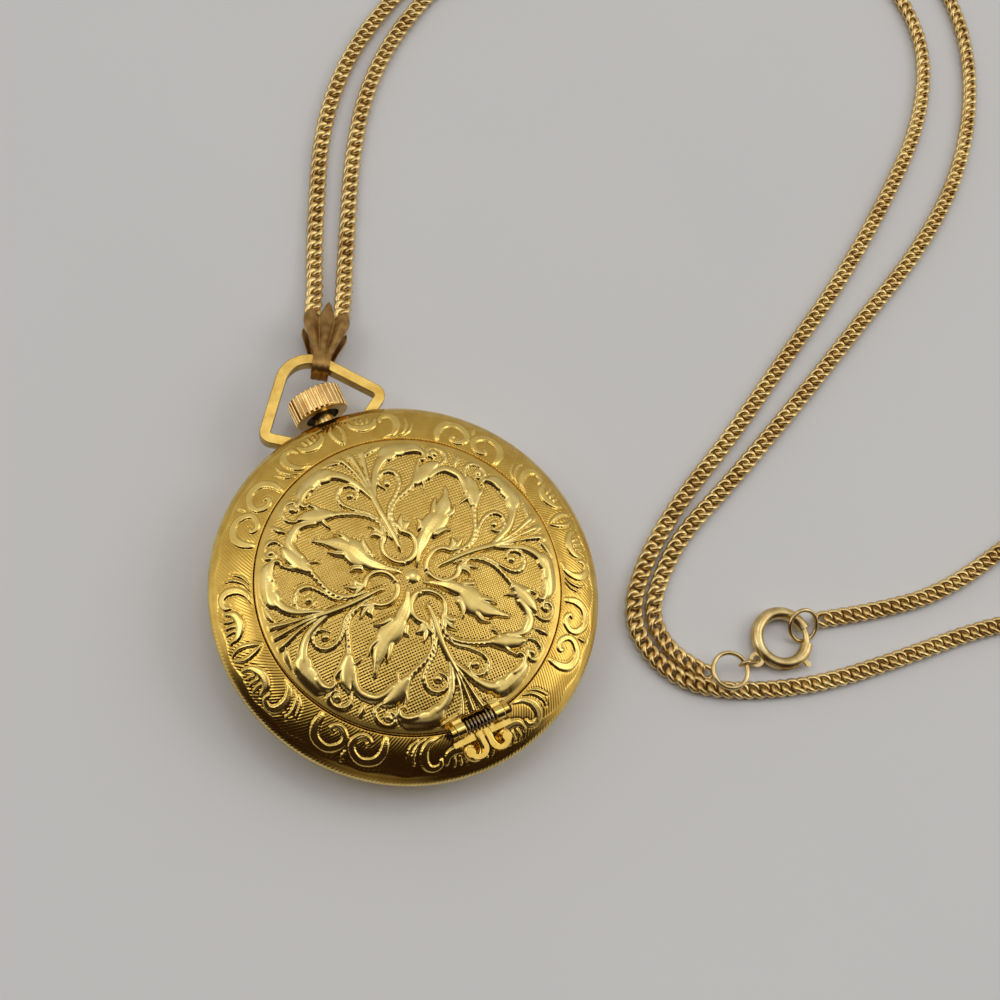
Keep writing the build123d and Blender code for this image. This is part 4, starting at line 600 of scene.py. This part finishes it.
rim_strokes = [
    # The bowl between two trumpet flowers, a curl on each side with a bead in it, and a short blade.
    stroke(
        [(9.5, 1.75), (10.35, 1.35), (10.95, 0.75), (11.1, 0.0)],
        (0.3, 0.34, 0.4, 0.46), 0.3, exponent=0.4,
    ),
    stroke(
        [(11.2, 1.3), (12.1, 1.05), (12.75, 1.5), (12.85, 2.3), (12.3, 2.85), (11.7, 2.6), (11.65, 2.1)],
        (0.1, 0.18, 0.2, 0.22, 0.2, 0.18, 0.12), 0.24, feather=0.4,
    ),
    stroke([(12.12, 2.22), (12.13, 2.23)], (0.36, 0.36), 0.3),
    stroke([(11.7, 0), (12.3, 0), (13.0, 0)], (0.06, 0.26, 0.1), 0.22),
]
relief_radius, relief_fade, lid_groove, lid_bare_below = 13.15, 0.5, 0.05, 0.03
leaf_foot, leaf_wave, leaf_sway = 1.2, 8.2, 0.4
print("strokes in one eighth of the lid", len(stem_strokes) + len(leaf_strokes) + len(rim_strokes))


def lid_relief(x, y):
    """Relief over the lid, and the share of bare ground, from points in millimetres round the lid's middle.

    A wobble of about a tenth of a millimetre keeps the repeats from looking ruled.
    """
    wobble_x = x + 0.09 * np.sin(y * 0.9 + 1.3) + 0.05 * np.sin(x * 1.7 + y * 0.6)
    wobble_y = y + 0.09 * np.sin(x * 0.8 + 0.4) + 0.05 * np.sin(y * 1.9 - x * 0.5)
    distance = np.hypot(wobble_x, wobble_y)
    bearing = np.arctan2(wobble_y, wobble_x)
    from_stem = np.abs(np.mod(bearing + np.pi / 4, np.pi / 2) - np.pi / 4)
    from_rim_motif = np.pi / 4 - from_stem
    from_leaf = np.mod(bearing, np.pi / 2) - np.pi / 4
    sway = leaf_sway * np.sin((distance - leaf_foot) * 2 * np.pi / leaf_wave)
    stem_frame, rim_frame = polar(distance, from_stem), polar(distance, from_rim_motif)
    leaf_frame = np.stack([distance * np.cos(from_leaf), np.abs(distance * np.sin(from_leaf) - sway)], 1)
    frames = [(stem_frame, stem_strokes), (rim_frame, rim_strokes), (leaf_frame, leaf_strokes)]
    tops, grooves = zip(*(ridges(places, strokes) for places, strokes in frames))
    top, groove = np.max(tops, axis=0), np.max(grooves, axis=0)
    bare = np.clip(1 - top / lid_bare_below, 0, 1)
    fade = np.clip((relief_radius - np.hypot(x, y)) / relief_fade, 0, 1)
    return (top - lid_groove * groove * bare) * fade, bare * (1 - groove * 0.5) * fade


# %% [markdown]
# The lid is one closed shell: a domed top with the relief and a bead in its middle, a rim, a lip that drops
# into the case's groove, and a plain polished inside. At 6 o'clock it is notched for the hinge's spring. The
# piece also keeps two numbers for each point, which its material reads: how bare the ground is there, and how
# deep the place lies below the scrolls, which the material turns into painted shade.

# %% Lid
lid_radius, lid_edge, lid_rise, lid_wall, lip_width, lip_bottom = 13.58, 6.3, 1.6, 0.5, 0.68, 5.65
edge_break, notch_half, notch_depth = 0.05, 1.425, 0.75
bead_radius, bead_height, bead_seat, hollow_depth = 0.6, 0.22, 0.04, 0.16
lid_top, under_base, under_rise = lid_edge + lid_rise, lid_edge - lid_wall + edge_break, lid_rise - edge_break
spokes, top_rings, under_rings = 700, 127, 6


def dome(edge_radius, rise, radius):
    """A ball's cap: how far it stands above its edge at a radius from its middle."""
    ball = (edge_radius**2 + rise**2) / (2 * rise)
    return np.sqrt(ball**2 - radius**2) - ball + rise


bearings = (np.arange(spokes) + 0.5) * 2 * np.pi / spokes
outline = np.full(spokes, lid_radius)
in_notch = (np.abs(lid_radius * np.cos(bearings)) < notch_half) & (np.sin(bearings) < 0)
outline[in_notch] = (lid_radius - notch_depth) / np.abs(np.sin(bearings[in_notch]))
share = np.linspace(0, 1, top_rings + 1)[1:]
radius_grid = share[:, None] * (outline - edge_break)[None]
x, y = radius_grid * np.cos(bearings), radius_grid * np.sin(bearings)
rise, bare = lid_relief(x.ravel(), y.ravel())
dome_radius = lid_radius - edge_break
dome_z = lid_edge + dome(dome_radius, lid_rise, np.clip(radius_grid, 0, dome_radius)) + rise.reshape(x.shape)
bead = np.clip(1 - (radius_grid / bead_radius) ** 2, 0, 1)
bead_z = lid_top - bead_seat + bead_height * np.sqrt(bead)
rows = [np.stack([x, y, np.where(bead > 0, np.maximum(dome_z, bead_z), dome_z)], -1)]
profile = [(outline, lid_edge - edge_break), (outline, lip_bottom), (outline - lip_width, lip_bottom)]
for edge, height in profile:
    rows.append(polar(edge, bearings, height)[None])
inner_radius = lid_radius - lip_width
under_share = np.linspace(1, 0, under_rings + 1)[:-1]
under_radius = under_share[:, None] * (outline - lip_width)[None]
under_z = under_base + dome(inner_radius, under_rise, np.clip(under_radius, 0, inner_radius))
rows.append(polar(under_radius, bearings, under_z))
shell = np.concatenate(rows)
top_pole, under_pole = [0, 0, lid_top - bead_seat + bead_height], [0, 0, under_base + under_rise]
points = np.vstack([shell.reshape(-1, 3), top_pole, under_pole])
shell_quads, shell_fans = grid_quads(len(shell), spokes, False, True), end_fans(len(shell), spokes)
lid = piece("chased_lid", points, shell_quads, shell_fans)
ground, hollow_shade = np.zeros((2, len(points)))
ground[: bare.size] = np.where(bead.ravel() > 0, 0, bare)
# Painted shade: how deep each point lies below the relief, which the material darkens.
hollow_shade[: bare.size] = np.where(bead.ravel() > 0, 0, np.clip(1 - rise / hollow_depth, 0, 1))
attach(lid, "ground", ground)
attach(lid, "hollow_shade", hollow_shade)
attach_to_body(lid, "lid")
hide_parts("lid")
print("lid triangles", len(lid.data.polygons) * 2, "relief mm", round(float(rise.max()), 2))

# %% [markdown]
# The ground of the lid is cross-hatched: fine cuts run both ways, a quarter of a millimetre apart, and break
# the light into a soft sparkle. The hatch is too fine for the mesh, so the material cuts it, and only where
# the point attribute says that there is bare ground. The hollows are also painted a little darker, as painted
# shade. The band's hatch is one set of slanted cuts, in the band's own run and width.


# %% Chased gold
def chased(name, light, dark, roughness, hatch, cut_mm):
    """Polished gold plate whose bare ground is hatched by a height that the hatch function draws, and whose
    hollows are darkened as painted shade.
    """
    made = metal(name, light, dark, roughness)
    tree = made.node_tree
    shader = tree.nodes["Principled BSDF"]
    ground = add(tree, "Attribute", attribute_name="ground").outputs["Fac"]
    hollow_shade = add(tree, "Attribute", attribute_name="hollow_shade").outputs["Fac"]
    height = add(tree, "Math", operation="MULTIPLY", in_0=hatch(tree), in_1=ground)
    cut = add(tree, "Bump", in_Height=height.outputs[0], in_Distance=cut_mm * MM, in_Strength=1.0)
    grain = shader.inputs["Normal"].links[0].from_socket
    tree.links.new(grain, cut.inputs["Normal"])
    tree.links.new(cut.outputs["Normal"], shader.inputs["Normal"])
    tones = shader.inputs["Base Color"].links[0].from_socket
    # Painted shade: the colour is multiplied darker where the place lies deep below the scrolls.
    shade = add(tree, "Mix", data_type="RGBA", blend_type="MULTIPLY", in_Factor=hollow_shade)
    tree.links.new(tones, shade.inputs[FIRST_COLOUR])
    shade.inputs[SECOND_COLOUR].default_value = linear("#E4D8BA")
    tree.links.new(shade.outputs[MIXED_COLOUR], shader.inputs["Base Color"])
    return made


def cross_hatch(tree):
    """Two sets of cuts, along and across the lid."""
    place = add(tree, "SeparateXYZ", in_Vector=add(tree, "TexCoord").outputs["Object"])
    along = wave(tree, place.outputs["X"], hatch_pitch)
    across_it = wave(tree, place.outputs["Y"], hatch_pitch)
    return add(tree, "Math", operation="ADD", in_0=along, in_1=across_it).outputs[0]


def band_hatch(tree):
    """One set of slanted cuts over the band."""
    place = add(tree, "SeparateXYZ", in_Vector=add(tree, "UVMap", uv_map="band").outputs["UV"])
    run, width = place.outputs["X"], place.outputs["Y"]
    slanted = add(tree, "Math", operation="MULTIPLY_ADD", in_0=width, in_1=band_slant, in_2=run)
    return wave(tree, slanted.outputs[0], band_pitch)


hatch_pitch, band_pitch, band_slant = 0.25, 0.32, 0.8
gold_lid = chased("gold_plate_chased", "#EFD68A", "#DFC475", 0.22, cross_hatch, 0.009)
gold_band = chased("gold_plate_chased_band", "#EFD27C", "#DFBE68", 0.18, band_hatch, 0.005)
lid.data.materials.append(gold_lid)
for links in chain_pieces:
    links.data.materials.append(gold_chain)

# %% [markdown]
# The case's middle is one turned ring. Its sloping band carries another run of scrolls, pressed in a
# shallower relief, and its edge is milled. It is a profile carried round the axis, with many points
# only where the band is, so that the inside ledges for the crystal and the back stay light. The band's
# profile is the arc through three points of the CAD model's own band.

# %% Profile of the case's band
band_points = np.array([(17.15, 4.75), (15.6, 5.65), (13.75, 6.2)])
(x1, z1), (x2, z2), (x3, z3) = band_points
system = np.array([[x2 - x1, z2 - z1], [x3 - x1, z3 - z1]])
right_side = 0.5 * np.array([x2**2 - x1**2 + z2**2 - z1**2, x3**2 - x1**2 + z3**2 - z1**2])
arc_centre = np.linalg.solve(system, right_side)
arc_radius = np.hypot(*(band_points[0] - arc_centre))
turn_out, turn_in = (math.atan2(z - arc_centre[1], x - arc_centre[0]) for x, z in band_points[[0, 2]])
band_rows, band_spokes, band_radius = 62, 1040, 15.5
turns = np.linspace(turn_out, turn_in, band_rows)
band_r, band_z = (arc_centre + polar(arc_radius, turns)).T
band_half = arc_radius * (turn_in - turn_out) / 2
band_v = band_half - arc_radius * (turns - turn_out)
band_bearings = np.arange(band_spokes) * 2 * np.pi / band_spokes
print("band width mm", round(band_half * 2, 2))

# %% [markdown]
# The band has two motifs, each four times: a pair of facing C scrolls, and a spray of leaves with a C scroll
# on each side. Each is drawn for one side and mirrored. x runs round the band from the motif's middle and y
# runs across it, outwards. Between the hatched ground and the rim runs a plain border with a wavy edge.

# %% Strokes of the band
pair_strokes = [
    stroke(
        [
            (3.2, -1.65), (3.2, -0.5), (2.65, 0.45), (1.5, 0.75), (0.6, 0.15), (0.35, -0.6), (0.8, -1.2),
            (1.4, -1.35), (1.85, -1.05), (1.6, -0.75),
        ],
        (0.24, 0.36, 0.38, 0.34, 0.3, 0.28, 0.26, 0.22, 0.2, 0.14), 0.16, exponent=0.4, cup=0.65,
    ),
    stroke([(0.0, 0.3), (0.0, 0.8), (0.0, 1.3)], (0.06, 0.2, 0.06), 0.1),
]
spray_strokes = [
    # The C scroll, and two thin blades beyond it.
    stroke(
        [(4.0, -1.75), (5.0, -1.35), (5.55, -0.5), (5.45, 0.5), (4.9, 0.95), (4.25, 0.75), (4.1, 0.2)],
        (0.08, 0.24, 0.34, 0.36, 0.28, 0.22, 0.12), 0.15, exponent=0.4, cup=0.5,
    ),
    stroke([(5.3, -1.7), (6.1, -1.2), (6.5, -0.3), (6.4, 0.6)], (0.05, 0.14, 0.16, 0.05), 0.12),
    stroke([(6.0, -1.65), (6.75, -1.0), (7.1, 0.0)], (0.05, 0.14, 0.05), 0.11),
    # The leaf beside the middle, its three ribs, and the stem in the middle.
    stroke(
        [(1.2, 1.0), (1.5, 0.15), (2.45, -0.35), (3.4, -0.05), (3.7, 0.8)],
        (0.1, 0.26, 0.4, 0.34, 0.1), 0.14, vein=0.3,
    ),
    stroke([(2.5, 1.1), (2.5, 0.15)], (0.06, 0.2), 0.13),
    stroke([(1.95, 1.1), (2.1, 0.25)], (0.06, 0.16), 0.12),
    stroke([(3.05, 1.1), (2.95, 0.25)], (0.06, 0.16), 0.12),
    stroke([(0.2, 1.25), (0.55, 0.3), (0.35, -0.8), (0.0, -1.5)], (0.05, 0.2, 0.2, 0.06), 0.13),
]
motifs = {(-135.5, -41.5, 43.0, 131.5): pair_strokes, (0.0, 90.0, 180.0, -90.0): spray_strokes}
border_waves, border_place, border_depth, border_rise, border_slope = 28, 1.3, 0.16, 0.03, 0.15
band_groove, band_hollow, band_bare_below, plain_edge, band_fade = 0.035, 0.08, 0.02, 0.1, 0.25


def band_relief(bearing, v):
    """Relief and bare ground over the band, from bearings in radians and places across it in millimetres."""
    top, groove = np.zeros(bearing.size), np.zeros(bearing.size)
    for centres, strokes in motifs.items():
        for centre in centres:
            off = np.mod(bearing - math.radians(centre) + np.pi, 2 * np.pi) - np.pi
            folded = np.stack([np.abs(off) * band_radius, v], 1)
            motif_top, motif_groove = ridges(folded, strokes)
            top, groove = np.maximum(top, motif_top), np.maximum(groove, motif_groove)
    bare = np.clip(1 - top / band_bare_below, 0, 1)
    wavy_edge = border_place + border_depth * np.cos(bearing * border_waves)
    border = np.clip((v - wavy_edge) / border_slope, 0, 1)
    fade = np.clip((band_half - plain_edge - np.abs(v)) / band_fade, 0, 1)
    relief = (top - band_groove * groove * bare + border_rise * border) * fade
    return relief, bare * (1 - groove * 0.5) * (1 - border)


# %% [markdown]
# Now the whole ring is laid out: its lower profile, the band and its upper and inner profile, each carried
# round the axis. The band's hatch and milling need a map that runs round the case, so each corner gets
# its run and width in metres, and the faces across the seam run on past the full turn.

# %% Case middle with its chased band
bearing_grid, v_grid = np.meshgrid(band_bearings, band_v)
relief, bare = (value.reshape(v_grid.shape) for value in band_relief(bearing_grid.ravel(), v_grid.ravel()))
out_r = band_r[:, None] + relief * np.cos(turns)[:, None]
out_z = band_z[:, None] + relief * np.sin(turns)[:, None]
band_grid = polar(out_r, bearing_grid, out_z)
low_profile = [
    (15.05, 2.4), (15.7, 2.4), (17.15, 3.25), (17.42, 3.5), (17.5, 3.62), (17.5, 4.0), (17.5, 4.38),
    (17.42, 4.5),
]
high_profile = [
    (13.7, 6.15), (13.7, 5.6), (11.9, 5.6), (11.9, 5.3), (10.65, 5.3), (10.65, 5.05), (11.8, 5.05),
    (11.8, 2.95), (15.05, 2.95),
]
milled_from = 3


def turned(profile):
    """Rings of points at the profile's radii and heights."""
    radii, heights = np.array(profile).T[:, :, None]
    return polar(radii, band_bearings, heights)


case_rows = np.concatenate([turned(low_profile), band_grid, turned(high_profile)])
case = piece("chased_case", case_rows.reshape(-1, 3), grid_quads(len(case_rows), band_spokes, True, True))
band_part = slice(len(low_profile), len(low_profile) + band_rows)
ground, hollow_shade = np.zeros((2, *case_rows.shape[:2]))
ground[band_part] = bare
ground[milled_from : len(low_profile)] = 1.0
# Painted shade: how deep each point of the band lies below its scrolls, which the material darkens.
hollow_shade[band_part] = np.clip(1 - relief / band_hollow, 0, 1)
attach(case, "ground", ground.ravel())
attach(case, "hollow_shade", hollow_shade.ravel())

low_v, high_v = np.linspace(4.2, 2.1, len(low_profile)), np.linspace(-2.2, -6, len(high_profile))
across_v = np.concatenate([low_v, band_v, high_v])
corner = np.empty(len(case.data.loops), np.int32)
case.data.loops.foreach_get("vertex_index", corner)
full_turn = 2 * np.pi * band_radius * MM
run = ((corner % band_spokes) * full_turn / band_spokes).reshape(-1, 4)
on_seam = np.ptp(run, axis=1)[:, None] > full_turn / 2
run = np.where(on_seam & (run < full_turn / 2), run + full_turn, run)
uv = np.stack([run.ravel(), across_v[corner // band_spokes] * MM], 1)
layer = case.data.uv_layers.new(name="band")
layer.data.foreach_set("uv", uv.astype(np.float32).ravel())
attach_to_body(case, "case")
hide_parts("case_middle")
case.data.materials.append(gold_band)
print("case triangles", len(case.data.polygons) * 2)

# %% [markdown]
# Four CAD nodes already have the right shape and only need their edges broken. A copy of such a node is
# merged into one surface and given a small bevel, which is what polishing does to a real edge.


# %% Softened copies of CAD nodes
def softened(node, body, width_mm, material, segments=2, angle=32):
    """A merged copy of a CAD node, with bevelled edges and smooth shading between them."""
    made = nodes[node].copy()
    made.data = nodes[node].data.copy()
    made.parent = None
    made.matrix_world = Matrix.Identity(4)
    made.name = node + "_polished"
    made.data.name = made.name
    bpy.context.scene.collection.objects.link(made)
    shell = bmesh.new()
    shell.from_mesh(made.data)
    bmesh.ops.remove_doubles(shell, verts=shell.verts, dist=2e-6)
    bmesh.ops.dissolve_limit(shell, angle_limit=math.radians(1.0), verts=shell.verts, edges=shell.edges)
    for face in shell.faces:
        face.smooth = True
    for edge in shell.edges:
        edge.smooth = len(edge.link_faces) == 2 and edge.calc_face_angle(0) < math.radians(angle)
    shell.to_mesh(made.data)
    shell.free()
    bevel = made.modifiers.new("edge", "BEVEL")
    bevel.width = width_mm * MM
    bevel.segments = segments
    bevel.limit_method = "ANGLE"
    bevel.angle_limit = math.radians(angle)
    made.data.materials.clear()
    made.data.materials.append(material)
    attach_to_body(made, body)
    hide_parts(node)
    return made


softened("bow", "case", 0.26, gold_bow, segments=3)
softened("crown", "crown", 0.05, gold_crown)
softened("hinge_bracket", "case", 0.08, gold_hinge, segments=3)
softened("lid_knuckles", "lid", 0.06, gold_polished, segments=3)

# %% [markdown]
# The bail is one strip of thin brass folded over the bow. Both its leaves are fans of three ribs that spread
# from the neck, and each rib ends in a point. One sheet makes it: its rows run up one leaf, round the fold
# and down the other, and the ribs push it outwards. Its places are told from the bail's shoulder: out along
# the leaf, aside, and up.

# %% Bail
fan_columns, fan_rows, fold_rows = 49, 26, 12
bail_half_slot, bail_wall, rib_height, rib_sink, fold_ribs = 1.05, 0.24, 0.5, 0.18, 0.1
fold_out, neck_half = -0.4, 0.8
spread = np.linspace(-1, 1, fan_columns)
ribs = 1 - np.abs(1 - 2 * np.mod(1.5 * spread + 0.5, 1))
rib_lift = rib_height * ribs - rib_sink
tip = np.interp(np.abs(spread), [0, 0.12, 1 / 3, 0.55, 0.9, 1], [6.8, 6.55, 5.2, 5.6, 5.65, 4.9])


def leaf_sheet(side, rise):
    """Rows of one leaf from the fold to its points. The ribs grow with the place along the leaf."""
    share = np.linspace(0, 1, fan_rows)[:, None]
    out_there = fold_out + share * (tip - fold_out)
    half = np.interp(out_there, [fold_out, 0.4, 4.4, 7.0], [neck_half, 0.85, 2.15, 2.3])
    lift = bail_half_slot + rise + rib_lift * np.clip(share * 1.6 + fold_ribs, 0, 1)
    return np.stack([out_there, spread * half, side * lift], -1)


def fold_sheet(rise):
    """Rows round the fold, from the upper leaf to the lower one: half a circle in each column."""
    turn = np.linspace(0, np.pi, fold_rows)[1:-1, None]
    radius = bail_half_slot + rise + rib_lift * fold_ribs
    aside = np.broadcast_to(spread * neck_half, (len(turn), fan_columns))
    return np.stack([fold_out - radius * np.sin(turn), aside, radius * np.cos(turn)], -1)


def strip(rise):
    """The whole strip at one height above the slot."""
    return np.concatenate([leaf_sheet(1, rise)[::-1], fold_sheet(rise), leaf_sheet(-1, rise)])


outer_face, inner_face = strip(bail_wall), strip(0.0)[:, ::-1]
sheet = np.concatenate([outer_face, inner_face], 1)
places = shoulder + sheet[..., :1] * forward + sheet[..., 1:2] * across + sheet[..., 2:] * leaf_up
row_count, column_count = sheet.shape[:2]
rim = np.arange(fan_columns - 1)
rim_quads = np.stack([rim, rim + 1, column_count - 2 - rim, column_count - 1 - rim], 1)
far_rim_quads = rim_quads[:, ::-1] + (row_count - 1) * column_count
bail_quads = np.vstack([grid_quads(row_count, column_count, False, True), rim_quads, far_rim_quads])
bail = piece("ribbed_bail", places.reshape(-1, 3), bail_quads)
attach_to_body(bail, "bail")
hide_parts("bail")
bail.data.materials.append(aged_brass)
print("bail points", len(bail.data.vertices))

# %% [markdown]
# The hinge's spring is a coil of hard wire between the knuckles. One end stands on the bracket's foot, and
# the other drops from the coil and runs in under the lid. The wire is a round section carried along a helix.


# %% Hinge spring
def tube(name, line, radius, sides=10):
    """A round wire along a line, with closed ends: each ring stands square to the line and isn't twisted."""
    ahead = unit(np.gradient(line, axis=0))
    normal = np.cross(ahead[0], [0.3, 0.5, 0.8])
    normals = []
    for heading_here in ahead:
        normal = normal - heading_here * (normal @ heading_here)
        normal /= np.linalg.norm(normal)
        normals.append(normal)
    rings = wire_rings(line, ahead, np.array(normals), radius, sides)
    points = np.vstack([rings.reshape(-1, 3), line[0], line[-1]])
    return piece(name, points, grid_quads(len(line), sides, False, True), end_fans(len(line), sides))


coil_turns, coil_radius, coil_wire, coil_length = 7.5, 0.46, 0.22, 2.68
hinge_y, hinge_z, foot_drop = -13.75, 6.95, 0.7
tail_steps = [(0, 0, 0), (0, 0, -0.6), (0, 0, -1.05), (0, 0.2, -1.19), (0, 0.9, -1.19)]
angle = np.linspace(0, coil_turns * 2 * np.pi, 360)
coil_x = -coil_length / 2 + coil_wire / 2 + (coil_length - coil_wire) * angle / angle[-1]
coil = np.stack([coil_x, hinge_y - coil_radius * np.cos(angle), hinge_z + coil_radius * np.sin(angle)], 1)
foot = coil[0] + np.linspace(-foot_drop, 0, 12)[:, None] * [0, 0, 1]
tail = smooth_curve(coil[-1] + np.array(tail_steps), 8)
spring = tube("hinge_coil", np.vstack([foot[:-1], coil, tail[1:]]), coil_wire / 2)
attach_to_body(spring, "case")
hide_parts("hinge_spring")
spring.data.materials.append(steel_spring)

# %% [markdown]
# Each lug of the hinge ends in a curl, like the end of a ribbon rolled round a pin. The curl is a round wire
# that follows the lug, gets thicker and rolls inwards to a ball.

# %% Curls of the hinge lugs
lug_line = np.array(
    [
        (0.5, -14.35, 6.25), (0.52, -15.0, 6.2), (0.6, -15.75, 6.02), (1.05, -16.3, 5.85),
        (1.65, -16.2, 5.88), (1.95, -15.7, 6.0), (1.7, -15.25, 6.12), (1.3, -15.4, 6.14),
    ]
)
for side, name in ((-1, "left"), (1, "right")):
    line = smooth_curve(lug_line * (side, 1, 1), 8)
    radii = np.interp(np.linspace(0, 1, len(line)), [0, 0.25, 0.6, 0.85, 1], [0.24, 0.3, 0.36, 0.32, 0.3])
    curl = tube(f"hinge_curl_{name}", line, radii, 14)
    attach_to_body(curl, "case")
    curl.data.materials.append(gold_hinge)

# %% [markdown]
# Behind the lid there is a watch: a cream dial with applied markers and two dark hands under a domed
# acrylic crystal. The lid hides them at rest, and they show as soon as it opens. Fired enamel is glossy with
# a faint mottle, lacquer is a deep even black, moulded rubber is dull, ruby is glassy red, and the acrylic
# is clear and bends light as that plastic does.


# %% Enamel, lacquer, rubber, ruby and acrylic
def plain(name, colour, roughness, spot_mm, second_colour, depth_mm=0.002):
    """A painted, moulded or enamelled surface: two close colours in soft spots, and a fine grain."""
    made = bpy.data.materials.new(name)
    made.use_nodes = True
    tree = made.node_tree
    shader = tree.nodes["Principled BSDF"]
    place = add(tree, "TexCoord").outputs["Object"]
    grain = add(tree, "TexNoise", in_Vector=place, in_Scale=1 / (spot_mm * MM), in_Detail=2.0)
    mix = add(tree, "ValToRGB", in_Fac=grain.outputs["Fac"])
    mix.color_ramp.elements[0].position, mix.color_ramp.elements[0].color = 0.25, linear(second_colour)
    mix.color_ramp.elements[1].position, mix.color_ramp.elements[1].color = 0.7, linear(colour)
    tree.links.new(mix.outputs["Color"], shader.inputs["Base Color"])
    bump = add(tree, "Bump", in_Height=grain.outputs["Fac"], in_Distance=depth_mm * MM, in_Strength=0.4)
    tree.links.new(bump.outputs["Normal"], shader.inputs["Normal"])
    shader.inputs["Roughness"].default_value = roughness
    return made


enamel = plain("enamel_cream_fired", "#EFE9D8", 0.25, 0.5, "#E8E0CC")
hand_lacquer = plain("lacquer_black_on_brass", "#141416", 0.2, 0.4, "#1C1B1A")
seal_rubber = plain("rubber_black_moulded", "#161616", 0.6, 0.2, "#222222")
ruby = plain("ruby_synthetic_polished", "#B0102A", 0.08, 0.3, "#8C0A20")
acrylic = plain("acrylic_clear_polished", "#FFFFFF", 0.03, 2.0, "#FAFAFA", 0.0005)
acrylic_shader = acrylic.node_tree.nodes["Principled BSDF"]
acrylic_shader.inputs["Transmission Weight"].default_value = 1.0
acrylic_shader.inputs["IOR"].default_value = 1.49

# %% [markdown]
# The dial's minute track is printed: sixty short strokes in a ring. The material draws them from the place on
# the dial: a cosine that goes round sixty times, kept where it is near its top and where the radius is right.

# %% Minute track
track_radius, track_half, minutes, stroke_edge = 10.1, 0.28, 60.0, 0.93
tree = enamel.node_tree
place = add(tree, "SeparateXYZ", in_Vector=add(tree, "TexCoord").outputs["Object"])
turn = add(tree, "Math", operation="ARCTAN2", in_0=place.outputs["Y"], in_1=place.outputs["X"])
sixty = add(tree, "Math", operation="MULTIPLY", in_0=turn.outputs[0], in_1=minutes)
wave_round = add(tree, "Math", operation="COSINE", in_0=sixty.outputs[0])
near_minute = add(tree, "Math", operation="GREATER_THAN", in_0=wave_round.outputs[0], in_1=stroke_edge)
flat = add(tree, "CombineXYZ", in_X=place.outputs["X"], in_Y=place.outputs["Y"])
reach = add(tree, "VectorMath", operation="LENGTH", in_0=flat.outputs[0]).outputs["Value"]
on_track = add(tree, "Math", operation="COMPARE", in_0=reach, in_1=track_radius * MM, in_2=track_half * MM)
printed = add(tree, "Math", operation="MULTIPLY", in_0=near_minute.outputs[0], in_1=on_track.outputs[0])
shader = tree.nodes["Principled BSDF"]
inked = add(tree, "Mix", data_type="RGBA", in_Factor=printed.outputs[0])
tree.links.new(shader.inputs["Base Color"].links[0].from_socket, inked.inputs[FIRST_COLOUR])
inked.inputs[SECOND_COLOUR].default_value = linear("#26221E")
tree.links.new(inked.outputs[MIXED_COLOUR], shader.inputs["Base Color"])

# %% [markdown]
# All the other CAD nodes already have their shape, and only need a finish.

# %% Finishes of the CAD nodes
finishes = {
    gold_polished: ["case_back"],
    ring_brass: ["pendant_tube", "crystal_ring", "movement_ring"],
    dark_brass: ["hinge_pin"],
    gold_clasp: ["jump_ring_left", "jump_ring_right", "clasp_tube", "clasp_bolt", "clasp_connector"],
    acrylic: ["crystal"],
    enamel: ["dial"],
    hand_lacquer: ["hour_markers", "hour_hand", "minute_hand"],
    nickel: ["mainplate", "barrel_bridge", "train_bridge", "pallet_cock", "balance_cock"],
    wheel_brass: [
        "barrel", "barrel_lid", "centre_wheel", "third_wheel", "fourth_wheel", "balance_wheel",
        "minute_wheel", "hour_wheel",
    ],
    tool_steel: [
        "bridge_screws", "click", "winding_stem", "winding_pinion", "crown_wheel", "ratchet_wheel",
        "barrel_arbor", "cannon_pinion", "escape_wheel", "pallet_fork",
    ],
    steel_spring: ["hairspring", "mainspring", "clasp_spring"],
    ruby: ["train_jewels"],
    seal_rubber: ["crown_gasket"],
}
for finish, names in finishes.items():
    for name in names:
        nodes[name].data.materials.clear()
        nodes[name].data.materials.append(finish)
print("CAD nodes with a finish", sum(len(names) for names in finishes.values()))
